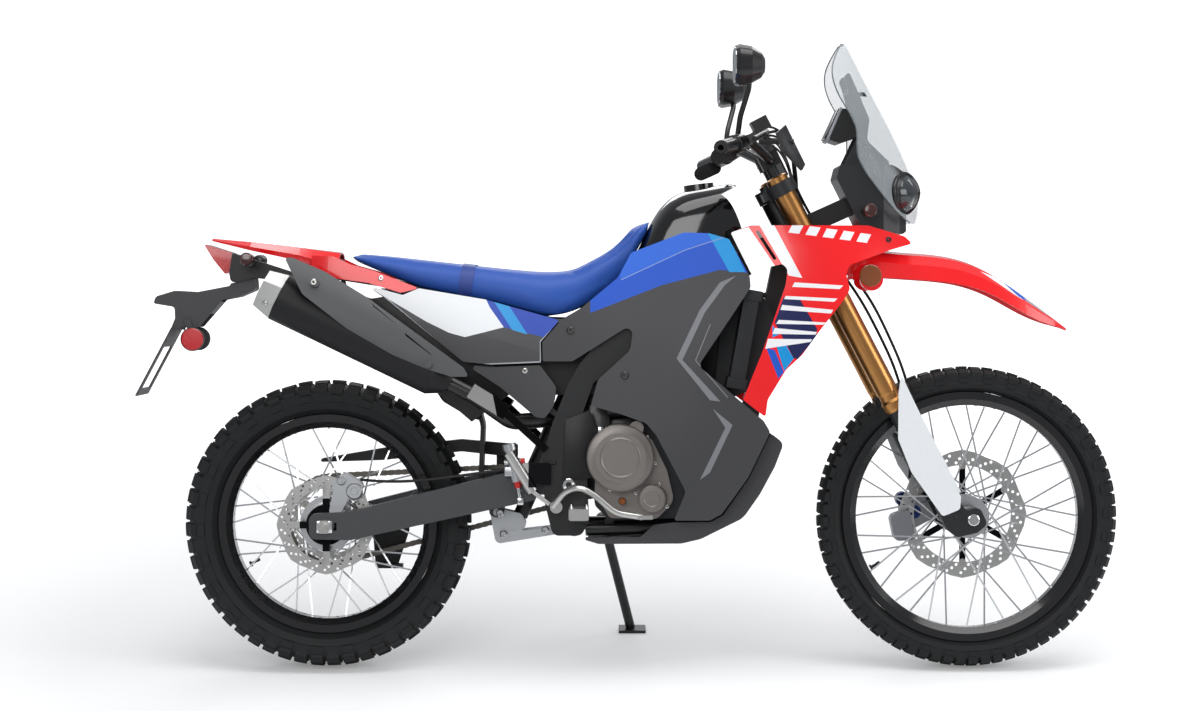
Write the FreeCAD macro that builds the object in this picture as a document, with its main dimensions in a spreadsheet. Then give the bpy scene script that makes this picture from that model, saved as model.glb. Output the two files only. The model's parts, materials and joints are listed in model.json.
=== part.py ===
import FreeCAD, Part
import Sketcher
import math
import os

# A dual sport motorcycle, leaning on its side stand.
# It is drawn upright: X forward from the rear axle, Y to the left, Z up from the road,
# and one placement then leans every piece over.

os.makedirs("parts", exist_ok=True)
doc = FreeCAD.newDocument("DualSport")
sheet = doc.addObject("Spreadsheet::Sheet", "Sizes")

V = FreeCAD.Vector
Placement = FreeCAD.Placement
Rotation = FreeCAD.Rotation
AHEAD = V(1, 0, 0)
LEFT = V(0, 1, 0)
UP = V(0, 0, 1)
HERE = Placement()

SIZES = [
    ("wheelbase", 1455.0),
    ("rake_angle", 27.5),
    ("trail_length", 109.0),
    ("lean_angle", 10.5),
    ("running_gap", 0.3),
    ("seat_gap", 0.3),
    ("front_tyre_radius", 342.0),
    ("front_tyre_width", 88.0),
    ("front_rim_radius", 281.0),
    ("front_rim_width", 50.0),
    ("rear_tyre_radius", 326.0),
    ("rear_tyre_width", 124.0),
    ("rear_rim_radius", 245.0),
    ("rear_rim_width", 72.0),
    ("lug_depth", 9.0),
    ("tread_pitches", 36.0),
    ("axle_radius", 9.0),
    ("axle_bore_radius", 5.0),
    ("spoke_count", 36.0),
    ("spoke_width", 3.6),
    ("disc_thickness", 4.0),
    ("front_disc_radius", 148.0),
    ("rear_disc_radius", 112.0),
    ("front_disc_place", 58.0),
    ("rear_disc_place", 72.0),
    ("chain_line", 82.0),
    ("chain_pitch", 15.875),
    ("rear_teeth", 40.0),
    ("front_teeth", 14.0),
    ("fork_spacing", 196.0),
    ("fork_offset", 24.0),
    ("fork_outer_radius", 25.0),
    ("fork_inner_radius", 21.5),
    ("fork_top", 884.0),
    ("outer_tube_bottom", 296.0),
    ("clamp_height", 38.0),
    ("upper_clamp_top", 872.0),
    ("lower_clamp_top", 676.0),
    ("stem_radius", 14.0),
    ("bar_radius", 11.0),
    ("bar_end_y", 410.0),
    ("bar_end_bore", 7.0),
    ("arm_inside", 97.0),
    ("arm_thickness", 28.0),
    ("pivot_x", 545.0),
    ("pivot_z", 418.0),
    ("spar_thickness", 24.0),
    ("spar_inside", 100.0),
    ("panel_thickness", 4.0),
    ("stand_foot_y", 268.0),
    ("stand_leg_radius", 11.0),
    ("stand_pin_radius", 8.0),
]
for row, (alias, value) in enumerate(SIZES, start=1):
    sheet.set("A%d" % row, alias)
    sheet.set("B%d" % row, "%g" % value)
    sheet.setAlias("B%d" % row, alias)
doc.recompute()


def size(alias):
    return float(sheet.get(alias))


wheelbase = size("wheelbase")
rake = math.radians(size("rake_angle"))
lean = math.radians(size("lean_angle"))
gap = size("running_gap")
seat_gap = size("seat_gap")


def number_of(term):
    # The value of a sheet expression such as "Sizes.front_rim_radius*0.5 - 10".
    names = [alias for alias, value in SIZES]
    total = 0.0
    sign = 1.0
    for word in term.replace("Sizes.", "").split():
        if word in "+-":
            sign = 1.0 if word == "+" else -1.0
            continue
        product = 1.0
        for factor in word.split("*"):
            product *= size(factor) if factor in names else float(factor)
        total += sign * product
    return total


def minus(term):
    # The same expression with its sign turned.
    return "0 - " + term.replace(" - ", " ~ ").replace(" + ", " - ").replace(" ~ ", " + ")


BEAD_DEPTH = 10.0
BEAD_INSET = 5.0


def tyre_section(end):
    # Half a tyre's section as (half width, distance from the axle): the carcass from the bead to the
    # tread's floor, the shoulder lug's two corners, and the centre lug's corner.
    rim = size(end + "_rim_radius")
    tyre = size(end + "_tyre_radius")
    wide = size(end + "_tyre_width")
    deep = size("lug_depth")
    bead = size(end + "_rim_width") / 2 - BEAD_INSET
    shoulder = tyre - wide * 0.15
    carcass = [(bead, rim - BEAD_DEPTH), (bead, rim + 3.5), (wide * 0.46, rim * 0.55 + tyre * 0.45),
               (wide * 0.475, shoulder - deep - 4), (wide * 0.31, tyre - wide * 0.06 - deep),
               (wide * 0.16, tyre - deep)]
    shoulder_lug = [(wide * 0.5, shoulder), (wide * 0.33, tyre - wide * 0.055)]
    return carcass, shoulder_lug, (wide * 0.15, tyre)


def lug_corners(end):
    carcass, shoulder_lug, crown = tyre_section(end)
    return shoulder_lug + [crown]


def reach_down(end):
    # How far a tyre reaches below its centre once the wheel leans.
    return max(r * math.cos(lean) + y * math.sin(lean) for y, r in lug_corners(end))


# The lean, with both tyres on the floor at Z = 0 and the origin under the middle of the machine.
origin_x = -683.6
origin_y = -218.4
rear_axle_z = size("rear_tyre_radius")
floor_lift = reach_down("rear") - rear_axle_z * math.cos(lean)
front_axle_z = (reach_down("front") - floor_lift) / math.cos(lean)
LEAN = Placement(V(origin_x, origin_y, floor_lift), Rotation(AHEAD, -size("lean_angle")))

# The steering axis: its own frame has X forward across the axis and Z up along it.
steer_offset = front_axle_z * math.sin(rake) - size("trail_length") * math.cos(rake)
across = V(math.cos(rake), 0, math.sin(rake))
along = V(-math.sin(rake), 0, math.cos(rake))
front_axle = V(wheelbase, 0, front_axle_z)
steer_origin = front_axle - across * steer_offset
STEER = Placement(steer_origin, Rotation(LEFT, -size("rake_angle")))
HEAD_SHIFT = steer_origin - V(1400.9, 0, 313.8)


def steer_point(x, y, z):
    return STEER.multVec(V(x, y, z))


# Shape helpers
def corner_arcs(points, radii):
    # Closed outline through the points, each corner rounded by its radius.
    edges = []
    starts = []
    ends = []
    mids = []
    count = len(points)
    for i in range(count):
        before = points[i - 1]
        here = points[i]
        after = points[(i + 1) % count]
        u = (before - here).normalize()
        w = (after - here).normalize()
        half = math.acos(max(-1.0, min(1.0, u.dot(w)))) / 2
        radius = radii[i]
        if radius <= 0 or half > math.radians(88):
            starts.append(here)
            ends.append(here)
            mids.append(None)
            continue
        run = min(radius / math.tan(half), 0.45 * (before - here).Length, 0.45 * (after - here).Length)
        r = run * math.tan(half)
        centre = here + (u + w).normalize() * (r / math.sin(half))
        starts.append(here + u * run)
        ends.append(here + w * run)
        mids.append(centre + (here - centre).normalize() * r)
    for i in range(count):
        if mids[i] is not None:
            edges.append(Part.Arc(starts[i], mids[i], ends[i]).toShape())
        nxt = (i + 1) % count
        if (starts[nxt] - ends[i]).Length > 1e-6:
            edges.append(Part.makeLine(ends[i], starts[nxt]))
    return Part.Wire(edges)


def side_outline(points, y, radius=6.0):
    radii = [p[2] if len(p) > 2 else radius for p in points]
    return corner_arcs([V(p[0], y, p[1]) for p in points], radii)


def side_plate(points, y_from, y_to, radius=6.0):
    # A plate cut to a side-view outline, between two distances from the middle.
    face = Part.Face(side_outline(points, y_from, radius))
    return face.extrude(V(0, y_to - y_from, 0))


def tube_path(points, bend):
    edges = []
    last = points[0]
    for i in range(1, len(points) - 1):
        here = points[i]
        u = (points[i - 1] - here).normalize()
        w = (points[i + 1] - here).normalize()
        half = math.acos(max(-1.0, min(1.0, u.dot(w)))) / 2
        if half > math.radians(88.5):
            continue
        run = min(bend / math.tan(half), 0.48 * (points[i - 1] - here).Length,
                  0.48 * (points[i + 1] - here).Length)
        r = run * math.tan(half)
        centre = here + (u + w).normalize() * (r / math.sin(half))
        start = here + u * run
        end = here + w * run
        if (start - last).Length > 1e-6:
            edges.append(Part.makeLine(last, start))
        edges.append(Part.Arc(start, centre + (here - centre).normalize() * r, end).toShape())
        last = end
    edges.append(Part.makeLine(last, points[-1]))
    return Part.Wire(edges)


def tube(points, radius, bend=40.0):
    path = tube_path(points, bend)
    first = path.OrderedEdges[0]
    start = first.valueAt(first.FirstParameter)
    heading = first.tangentAt(first.FirstParameter)
    if (start - points[0]).Length > 1e-3:
        start = points[0]
        heading = (points[1] - points[0]).normalize()
    ring = Part.Wire([Part.makeCircle(radius, start, heading)])
    return path.makePipeShell([ring], True, True)


def bar(start, end, wide, deep, side=LEFT):
    # A straight rectangular bar from point to point.
    way = end - start
    along_way = V(way).normalize()
    cross = side - along_way * side.dot(along_way)
    cross.normalize()
    up = along_way.cross(cross)
    corners = []
    for a, b in ((-1, -1), (1, -1), (1, 1), (-1, 1)):
        corners.append(start + cross * (a * wide / 2) + up * (b * deep / 2))
    face = Part.Face(Part.makePolygon(corners + [corners[0]]))
    return face.extrude(way)


def rod(start, end, radius):
    way = end - start
    return Part.makeCylinder(radius, way.Length, start, way)


def ring_y(radius, bore, x, z, y_from, y_to):
    outer = Part.makeCylinder(radius, abs(y_to - y_from), V(x, min(y_from, y_to), z), LEFT)
    if bore <= 0:
        return outer
    inner = Part.makeCylinder(bore, abs(y_to - y_from) + 2, V(x, min(y_from, y_to) - 1, z), LEFT)
    return outer.cut(inner)


def box(x0, x1, y0, y1, z0, z1):
    return Part.makeBox(x1 - x0, y1 - y0, z1 - z0, V(x0, y0, z0))


def mirrored(shape):
    return shape.mirror(V(0, 0, 0), LEFT)


def both_sides(shape):
    return Part.makeCompound([shape, mirrored(shape)])


def fused(shapes):
    whole = shapes[0].fuse(shapes[1:]) if len(shapes) > 1 else shapes[0]
    whole = whole.removeSplitter()
    return whole.Solids[0] if len(whole.Solids) == 1 else Part.makeCompound(whole.Solids)


def section_loft(sections, ruled=False):
    return Part.makeLoft(sections, True, ruled)


# Document helpers
def feature(label, shape, place=HERE):
    thing = doc.addObject("Part::Feature", label)
    thing.Label = label
    thing.Shape = shape
    thing.Placement = LEAN.multiply(place)
    return thing


def new_body(label, place=HERE):
    body = doc.addObject("PartDesign::Body", label)
    body.Label = label
    body.Placement = LEAN.multiply(place)
    return body


def plane_of(body, role):
    return [f for f in body.Origin.OriginFeatures if f.Role == role][0]


def sketch_on(body, name, role, points):
    # A closed sketch of straight lines; each corner is held by two dimensions from the sheet.
    sketch = body.newObject("Sketcher::SketchObject", name)
    sketch.AttachmentSupport = [(plane_of(body, role), "")]
    sketch.MapMode = "FlatFace"
    count = len(points)
    values = [tuple(number_of(term) for term in point) for point in points]
    for i in range(count):
        a = values[i]
        b = values[(i + 1) % count]
        sketch.addGeometry(Part.LineSegment(V(a[0], a[1], 0), V(b[0], b[1], 0)), False)
    for i in range(count):
        sketch.addConstraint(Sketcher.Constraint("Coincident", i, 2, (i + 1) % count, 1))
    for i in range(count):
        for kind, term, value in (("DistanceX", points[i][0], values[i][0]),
                                  ("DistanceY", points[i][1], values[i][1])):
            index = sketch.addConstraint(Sketcher.Constraint(kind, -1, 1, i, 1, value))
            sketch.setExpression("Constraints[%d]" % index, term)
    return sketch


def revolved(body, name, points):
    # Section points are (distance along the axle, distance from it).
    sketch = sketch_on(body, name + "Section", "XY_Plane", points)
    turn = body.newObject("PartDesign::Revolution", name + "Turn")
    turn.Profile = sketch
    turn.ReferenceAxis = (sketch, ["H_Axis"])
    turn.Angle = 360
    return turn


# Wheels
FRONT_WHEEL = Placement(front_axle, Rotation(UP, 90))
REAR_WHEEL = Placement(V(0, 0, rear_axle_z), Rotation(UP, 90))


def round_axle(spot, angle):
    # A section's corner (place along the axle, distance from it), turned to an angle.
    y, r = spot
    return V(y, r * math.cos(angle), r * math.sin(angle))


def flat_face(points):
    return Part.Face(Part.makePolygon(points + [points[0]]))


def both_halves(half):
    return half + [(-y, r) for y, r in reversed(half)]


def make_tyre(label, end, place):
    # A knobbly tyre, column by column: centre lugs and pairs of shoulder lugs take turns round it.
    # Every column is flat from edge to edge, and both kinds share the carcass's corners.
    carcass, shoulder_lug, crown = tyre_section(end)
    pitches = int(size("tread_pitches"))
    step = math.pi / pitches
    bead, low = carcass[0]
    carcass[0] = (bead, low / math.cos(step / 2))
    centre_column = both_halves(carcass + [crown])
    shoulder_column = both_halves(carcass[:4] + shoulder_lug + carcass[4:])
    centre_end = both_halves([carcass[5], crown])
    shoulder_end = [carcass[3]] + shoulder_lug + [carcass[4]]
    other_end = [(-y, r) for y, r in shoulder_end]
    faces = []
    for k in range(2 * pitches):
        section = centre_column if k % 2 == 0 else shoulder_column
        a = k * step
        b = (k + 1) * step
        for i in range(len(section)):
            one = section[i - 1]
            two = section[i]
            corners = [round_axle(one, a), round_axle(two, a), round_axle(two, b), round_axle(one, b)]
            faces.append(flat_face(corners))
        for lug_end in (centre_end, shoulder_end, other_end):
            faces.append(flat_face([round_axle(spot, a) for spot in lug_end]))
    shell = Part.makeCompound(faces)
    shell.sewShape()
    feature(label, Part.makeSolid(Part.makeShell(shell.Faces)), place)


def make_rim(label, end, place):
    radius = "Sizes.%s_rim_radius" % end
    wide = "Sizes.%s_rim_width" % end
    bead = wide + "*0.5 - %g + Sizes.seat_gap" % BEAD_INSET
    half = [
        (bead, radius + " - %g - Sizes.seat_gap" % BEAD_DEPTH),
        (bead, radius + " + 3"),
        (wide + "*0.5", radius + " + 3"),
        (wide + "*0.5", radius + " - 14"),
        (wide + "*0.28", radius + " - 28"),
    ]
    well = (wide + "*0.2", radius + " - 20")
    points = [well] + half
    points += [(minus(y), r) for y, r in reversed(half)]
    points += [(minus(well[0]), well[1])]
    revolved(new_body(label, place), label.title().replace("_", ""), points)


def hub_shape(steps):
    # Steps run along the axle: (place, radius) with the bore cut through.
    points = [V(steps[0][0], 0, 0)] + [V(y, r, 0) for y, r in steps] + [V(steps[-1][0], 0, 0)]
    face = Part.Face(Part.makePolygon(points + [points[0]]))
    whole = face.revolve(V(0, 0, 0), AHEAD, 360)
    length = steps[-1][0] - steps[0][0] + 20
    bore = Part.makeCylinder(size("axle_radius") + gap, length, V(steps[0][0] - 10, 0, 0), AHEAD)
    return whole.cut(bore)


def spokes(flange_y, flange_radius, rim_radius):
    # Three-cross lacing: every second spoke leans the other way and lies outside its neighbour.
    count = int(size("spoke_count"))
    per_side = count // 2
    step = 360.0 / per_side
    width = size("spoke_width")
    inner = flange_radius + width / 2 + 0.5
    outer = rim_radius - 28 - 0.9
    bars = []
    for side in (1, -1):
        for k in range(per_side):
            turn = 1 if k % 2 == 0 else -1
            a = math.radians(k * step + (step / 2 if side < 0 else 0))
            b = a + turn * math.radians(3 * step)
            y_hub = side * (flange_y + 3 * turn)
            y_rim = side * (8.5 + 2.5 * turn)
            start = V(y_hub, inner * math.cos(a), inner * math.sin(a))
            end = V(y_rim, outer * math.cos(b), outer * math.sin(b))
            bars.append(bar(start, end, width, width, AHEAD))
    return bars


def make_hub(label, steps, flange_y, flange_radius, rim_radius, place):
    shape = Part.makeCompound([hub_shape(steps)] + spokes(flange_y, flange_radius, rim_radius))
    feature(label, shape, place)


WHEEL_ROOM = 5.5


def front_hub():
    end = size("fork_spacing") / 2 - 20 - WHEEL_ROOM
    flange = 32.0
    steps = [(-end, 20), (-flange - 5, 24), (-flange - 5, 48), (-flange + 5, 48), (-flange + 9, 27),
             (flange - 9, 27), (flange - 5, 48), (flange + 5, 48), (flange + 5, 30),
             (size("front_disc_place") - 2 - seat_gap, 30), (size("front_disc_place") - 2 - seat_gap, 20),
             (end, 20)]
    make_hub("front_hub", steps, flange, 48, size("front_rim_radius"), FRONT_WHEEL)


def rear_hub():
    end = size("arm_inside") - WHEEL_ROOM
    flange = 40.0
    disc = size("rear_disc_place")
    chain = size("chain_line")
    steps = [(-end, 20), (-disc + 2 + seat_gap, 20), (-disc + 2 + seat_gap, 48), (-flange - 5, 48),
             (-flange - 5, 62), (-flange + 5, 62), (-flange + 10, 34), (flange - 10, 34),
             (flange - 5, 62), (flange + 5, 62), (flange + 5, 58), (chain - 3 - seat_gap, 58),
             (chain - 3 - seat_gap, 20), (end, 20)]
    make_hub("rear_hub", steps, flange, 62, size("rear_rim_radius"), REAR_WHEEL)


def wavy_disc(radius, inner, waves, depth, thickness):
    # A brake disc's edge: a rounded wave between the full radius and a little less.
    points = []
    steps = waves * 4
    for i in range(steps):
        angle = 2 * math.pi * i / steps
        r = radius - depth / 2 + depth / 2 * math.cos(waves * angle)
        points.append(V(0, r * math.cos(angle), r * math.sin(angle)))
    edge = Part.makePolygon(points + [points[0]])
    hole = Part.makeCylinder(inner, 3 * thickness, V(-thickness, 0, 0), AHEAD)
    return Part.Face(edge).extrude(V(thickness, 0, 0)).cut(hole)


def spider(arms, hub_radius, tip_radius, bore, thickness, width):
    parts = [Part.makeCylinder(hub_radius, thickness, V(0, 0, 0), AHEAD)]
    for k in range(arms):
        angle = 360.0 * k / arms
        arm = Part.makeBox(thickness, width, tip_radius, V(0, -width / 2, 0))
        arm.rotate(V(0, 0, 0), AHEAD, angle)
        parts.append(arm)
    return fused(parts).cut(Part.makeCylinder(bore, thickness * 3, V(-thickness, 0, 0), AHEAD))


def front_disc():
    thick = size("disc_thickness")
    ring = wavy_disc(size("front_disc_radius"), 112, 8, 7, thick)
    carrier = spider(6, 38, 114, 20 + gap, thick, 14)
    place = FRONT_WHEEL.multiply(Placement(V(size("front_disc_place") - thick / 2, 0, 0), Rotation()))
    feature("front_disc", fused([ring, carrier]), place)


def rear_disc():
    thick = size("disc_thickness")
    ring = wavy_disc(size("rear_disc_radius"), 82, 8, 6, thick)
    carrier = spider(4, 46, 84, 20 + gap, thick, 16)
    place = REAR_WHEEL.multiply(Placement(V(-size("rear_disc_place") - thick / 2, 0, 0), Rotation()))
    feature("rear_disc", fused([ring, carrier]), place)


def pitch_radius(teeth):
    return size("chain_pitch") / 2 / math.sin(math.pi / teeth)


ROLLER_RADIUS = 5.1


def rear_sprocket():
    # The tips stop short of the rollers, since the chain stands still while the wheel turns.
    teeth = int(size("rear_teeth"))
    tip = pitch_radius(teeth) - ROLLER_RADIUS - 1
    points = []
    for k in range(teeth):
        for part, r in ((0.0, tip), (0.25, tip - 1.5), (0.5, tip - 7), (0.75, tip - 1.5)):
            angle = 2 * math.pi * (k + part) / teeth
            points.append(V(0, r * math.cos(angle), r * math.sin(angle)))
    edge = Part.makePolygon(points + [points[0]])
    ring = Part.Face(edge).extrude(V(6, 0, 0)).cut(Part.makeCylinder(78, 20, V(-5, 0, 0), AHEAD))
    carrier = spider(6, 48, 80, 20 + gap, 6, 18)
    place = REAR_WHEEL.multiply(Placement(V(size("chain_line") - 3, 0, 0), Rotation()))
    feature("rear_sprocket", fused([ring, carrier]), place)


def make_wheels():
    for end, place in (("front", FRONT_WHEEL), ("rear", REAR_WHEEL)):
        make_tyre(end + "_tyre", end, place)
        make_rim(end + "_rim", end, place)
    front_hub()
    rear_hub()
    front_disc()
    rear_disc()
    rear_sprocket()


# Front end: everything here turns with the handlebar
LEG_Y = size("fork_spacing") / 2
LEG_X = size("fork_offset")
UPPER_TOP = size("upper_clamp_top")
LOWER_TOP = size("lower_clamp_top")
CLAMP = size("clamp_height")


def at_legs(shape):
    # The same shape at both fork legs.
    return Part.makeCompound([shape.translated(V(LEG_X, side * LEG_Y, 0)) for side in (-1, 1)])


def fork_tubes():
    # The wide upper tubes, with a stepped collar at the lower end.
    r = size("fork_outer_radius")
    bottom = size("outer_tube_bottom")
    inner = size("fork_inner_radius") + seat_gap
    top = size("fork_top")
    collar = [(inner, bottom), (r - 1, bottom), (r + 2, bottom + 6), (r + 2, bottom + 22), (r - 1, bottom + 28),
              (r - 1, bottom + 40), (r, bottom + 46), (r, top), (r - 6, top + 3), (0, top + 3), (0, top - 12),
              (inner, top - 12)]
    points = [V(x, 0, z) for x, z in collar]
    face = Part.Face(Part.makePolygon(points + [points[0]]))
    feature("fork_tubes", at_legs(face.revolve(V(0, 0, 0), UP, 360)), STEER)


def fork_legs():
    # The sliding tubes and the cast feet that hold the axle ahead of them.
    foot_top = 62
    tube_shape = Part.makeCylinder(size("fork_inner_radius"), 560, V(0, 0, 20), UP)
    lead = steer_offset - LEG_X
    half = 20
    outline = [(-24, foot_top, 6), (-26, 8, 10), (-14, -18, 10), (lead - 6, -30, 12), (lead + 24, -24, 14),
               (lead + 26, 18, 14), (lead - 4, 26, 8), (24, foot_top, 6)]
    foot = side_plate(outline, -half, half)
    foot = foot.cut(Part.makeCylinder(size("axle_radius") + 0.05, 80, V(lead, -40, 0), LEFT))
    feature("fork_legs", at_legs(fused([tube_shape, foot])), STEER)


def clamp_plate(top, height, stem_bore):
    # One triple clamp: two bosses round the legs and a bridge through the stem.
    r = size("fork_outer_radius")
    boss = Part.makeCylinder(r + 9, height, V(0, 0, top - height), UP)
    bridge = Part.makeBox(46, 2 * LEG_Y, height - 10, V(-22, -LEG_Y, top - height + 5))
    core = Part.makeCylinder(30, height, V(0, 0, top - height), UP)
    shape = fused([boss.translated(V(LEG_X, -LEG_Y, 0)), boss.translated(V(LEG_X, LEG_Y, 0)), bridge, core])
    for side in (-1, 1):
        hole = Part.makeCylinder(r + seat_gap, height + 2, V(LEG_X, side * LEG_Y, top - height - 1), UP)
        shape = shape.cut(hole)
    if stem_bore:
        shape = shape.cut(Part.makeCylinder(size("stem_radius"), height + 2, V(0, 0, top - height - 1), UP))
    return shape


def triple_clamps():
    upper = clamp_plate(UPPER_TOP, CLAMP - 8, True)
    lower = clamp_plate(LOWER_TOP, CLAMP, True)
    bottom = LOWER_TOP - CLAMP
    stem = Part.makeCylinder(size("stem_radius"), UPPER_TOP + 8 - bottom, V(0, 0, bottom), UP)
    riser_top = BAR_Z - size("bar_radius") - 6 - seat_gap
    risers = [Part.makeCylinder(13, riser_top - UPPER_TOP + 20, V(28, side * 50, UPPER_TOP - 20), UP)
              for side in (-1, 1)]
    feature("triple_clamps", fused([upper, lower, stem] + risers), STEER)


BAR_Z = UPPER_TOP + 55.0
BAR_POINTS = [(32, 75, BAR_Z), (0, 195, BAR_Z + 58), (-42, 300, BAR_Z + 63), (-78, size("bar_end_y"), BAR_Z + 67)]


def handlebar():
    r = size("bar_radius")
    right = [V(x, -y, z) for x, y, z in reversed(BAR_POINTS)]
    left = [V(x, y, z) for x, y, z in BAR_POINTS]
    end = (left[-1] - left[-2]).normalize()
    whole = tube(right + left, r, 60)
    parts = [whole]
    for side in (-1, 1):
        base = V(32, side * 50, BAR_Z - r - 6)
        parts.append(Part.makeBox(44, 24, 2 * r + 12, base + V(-22, -12, 0)))
    brace = rod(V(32, -50, BAR_Z + r + 4), V(32, 50, BAR_Z + r + 4), 6)
    shape = fused(parts + [brace])
    for side in (-1, 1):
        tip = V(left[-1].x, side * left[-1].y, left[-1].z)
        way = V(end.x, side * end.y, end.z)
        shape = shape.cut(Part.makeCylinder(size("bar_end_bore"), 60, tip + way * 2, way * -1))
    feature("handlebar", shape, STEER)


def grips():
    bore = size("bar_radius") + seat_gap
    parts = []
    for side in (-1, 1):
        start = V(BAR_POINTS[2][0], side * BAR_POINTS[2][1], BAR_POINTS[2][2])
        end = V(BAR_POINTS[3][0], side * BAR_POINTS[3][1], BAR_POINTS[3][2])
        way = (end - start).normalize()
        start = start - way * 2
        length = (end - start).Length - 4
        outer = Part.makeCylinder(16.5, length, start, way)
        flange = Part.makeCylinder(21, 5, start, way)
        shape = fused([outer, flange]).cut(Part.makeCylinder(bore, length + 10, start - way * 5, way))
        parts.append(shape)
    return parts


def lever_arm(side, extra):
    # The short arm that carries a lever ahead of the bar, as it is or a little larger.
    inner = V(BAR_POINTS[1][0], side * BAR_POINTS[1][1], BAR_POINTS[1][2])
    outer = V(BAR_POINTS[2][0], side * BAR_POINTS[2][1], BAR_POINTS[2][2])
    way = (outer - inner).normalize()
    start = inner + way * 50 + V(10, 0, 0)
    end = inner + way * 56 + V(48 + extra / 2, 0, -4)
    return bar(start, end, 20 + extra, 18 + extra, UP)


def hand_controls():
    # A switch box, a lever perch with its lever, and the brake's fluid box on the right.
    r = size("bar_radius") + seat_gap
    parts = grips()
    for side in (-1, 1):
        inner = V(BAR_POINTS[1][0], side * BAR_POINTS[1][1], BAR_POINTS[1][2])
        outer = V(BAR_POINTS[2][0], side * BAR_POINTS[2][1], BAR_POINTS[2][2])
        way = (outer - inner).normalize()
        switch = Part.makeCylinder(21, 32, inner + way * 70, way)
        perch = Part.makeCylinder(17, 36, inner + way * 38, way)
        arm = lever_arm(side, 0)
        pivot = inner + way * 56 + V(44, 0, -4)
        lever = tube([pivot, pivot + V(14, side * 40, 0), pivot + V(0, side * 110, -4),
                      pivot + V(-30, side * 178, -6)], 6, 60)
        body = fused([switch, perch, arm, lever])
        parts.append(body.cut(Part.makeCylinder(r, 260, inner - way * 60, way)))
    fluid_box = Part.makeBox(38, 56, 28, V(BAR_POINTS[1][0] + 16, -BAR_POINTS[1][1] - 66, BAR_POINTS[1][2] + 4))
    parts[2] = fused([parts[2], fluid_box])
    feature("hand_controls", Part.makeCompound(parts), STEER)


def hand_guards():
    parts = []
    for side in (-1, 1):
        outline = [V(78, side * 236, 880), V(80, side * 236, 958), V(74, side * 300, 976),
                   V(42, side * 384, 968), V(36, side * 392, 926), V(58, side * 330, 872)]
        face = Part.makeFilledFace([Part.makePolygon(outline + [outline[0]])])
        parts.append(face.extrude(V(5, 0, 0)))
        mount = rod(V(16, side * 247, 974), V(80, side * 262, 935), 7).cut(lever_arm(side, 0.6))
        parts.append(max(mount.Solids, key=lambda solid: solid.BoundBox.XMax))
    shapes = [fused(parts[0:2]), fused(parts[2:4])]
    feature("hand_guards", Part.makeCompound(shapes), STEER)


MIRROR = V(938, 330, 1342)


def mirror_ring(reach, share, side):
    # The mirror head's outline across the machine, at a distance ahead of its middle.
    outline = [(-74, 20, 26), (-60, 44, 26), (30, 45, 30), (72, 28, 26), (72, -24, 26), (20, -45, 40),
               (-50, -42, 26), (-76, -16, 26)]
    centre = V(MIRROR.x + reach, side * MIRROR.y, MIRROR.z) + HEAD_SHIFT
    corners = [centre + V(0, side * y * share, z * share) for y, z, radius in outline]
    return corner_arcs(corners, [radius * share for y, z, radius in outline])


def mirrors():
    parts = []
    for side in (-1, 1):
        base = V(-18.5, side * 241.5, 1007.4)
        stem = tube([base, V(4, side * 250, 1040), V(44, side * 284, 1082), V(66, side * 318, 1120)], 6, 60)
        rings = [mirror_ring(-30, 0.93, side), mirror_ring(-22, 1.0, side), mirror_ring(4, 0.9, side),
                 mirror_ring(26, 0.62, side), mirror_ring(34, 0.34, side)]
        shell = section_loft(rings, True)
        shell.transformShape(STEER.inverse().toMatrix())
        parts.append(fused([stem, shell]))
    feature("mirrors", Part.makeCompound(parts), STEER)


FENDER = [
    (1190, 914, 880, 60), (1279, 946, 884, 72), (1341, 941, 880, 75), (1441, 925, 868, 75),
    (1505, 897, 846, 70), (1581, 847, 804, 58), (1640, 803, 779, 40), (1682, 771, 765, 12),
]


def arch(x, top, edge, half, inset):
    # The fender's cross-section: a crown with two creases over straight sides.
    rise = top - edge
    t = inset
    outer = [(-half, edge), (-half * 0.94, edge + rise * 0.55), (-half * 0.55, top - rise * 0.10), (0, top)]
    points = [V(x, y, z) for y, z in outer]
    points += [V(x, -y, z) for y, z in reversed(outer[:-1])]
    inner = [(-half + t, edge), (-half * 0.94 + t, edge + rise * 0.55 - t), (-half * 0.55, top - rise * 0.10 - t),
             (0, top - t)]
    under = [V(x, y, z) for y, z in inner]
    under += [V(x, -y, z) for y, z in reversed(inner[:-1])]
    whole = points + list(reversed(under))
    return Part.makePolygon(whole + [whole[0]])


def front_fender():
    t = size("panel_thickness")
    sections = [arch(x + HEAD_SHIFT.x, top + HEAD_SHIFT.z, edge + HEAD_SHIFT.z, half, t)
                for x, top, edge, half in FENDER]
    shell = section_loft(sections)
    local = STEER.inverse()
    stay_top = LOWER_TOP - CLAMP
    post = Part.makeBox(60, 70, 24, V(60, -35, stay_top - 24 - seat_gap))
    plate = Part.makeBox(120, 60, 6, V(-20, -30, stay_top - 6 - seat_gap))
    shell.transformShape(local.toMatrix())
    reflectors = [Part.makeCylinder(26, 16, V(112, side * 60, 582), LEFT * side) for side in (-1, 1)]
    feature("front_fender", fused([shell, post, plate] + reflectors), STEER)


def fork_guards():
    outline = [(68, 366), (66, 340), (63, 245), (59, 60), (44, 36, 10), (2, 40), (-14, 160), (-6, 240), (43, 332)]
    y_out = LEG_Y + size("fork_outer_radius") + 6.5
    plate = side_plate([(x, z) + tuple(rest) for x, z, *rest in outline], y_out - 4, y_out, 8)
    front = Part.makeBox(4, 30, 250, V(60, y_out - 32, 70))
    foot = LEG_Y + size("fork_inner_radius") + gap
    boss = Part.makeCylinder(9, y_out - foot, V(26, foot, 50), LEFT)
    shape = fused([plate, front, boss])
    feature("fork_guards", Part.makeCompound([shape, mirrored(shape)]), STEER)


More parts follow.
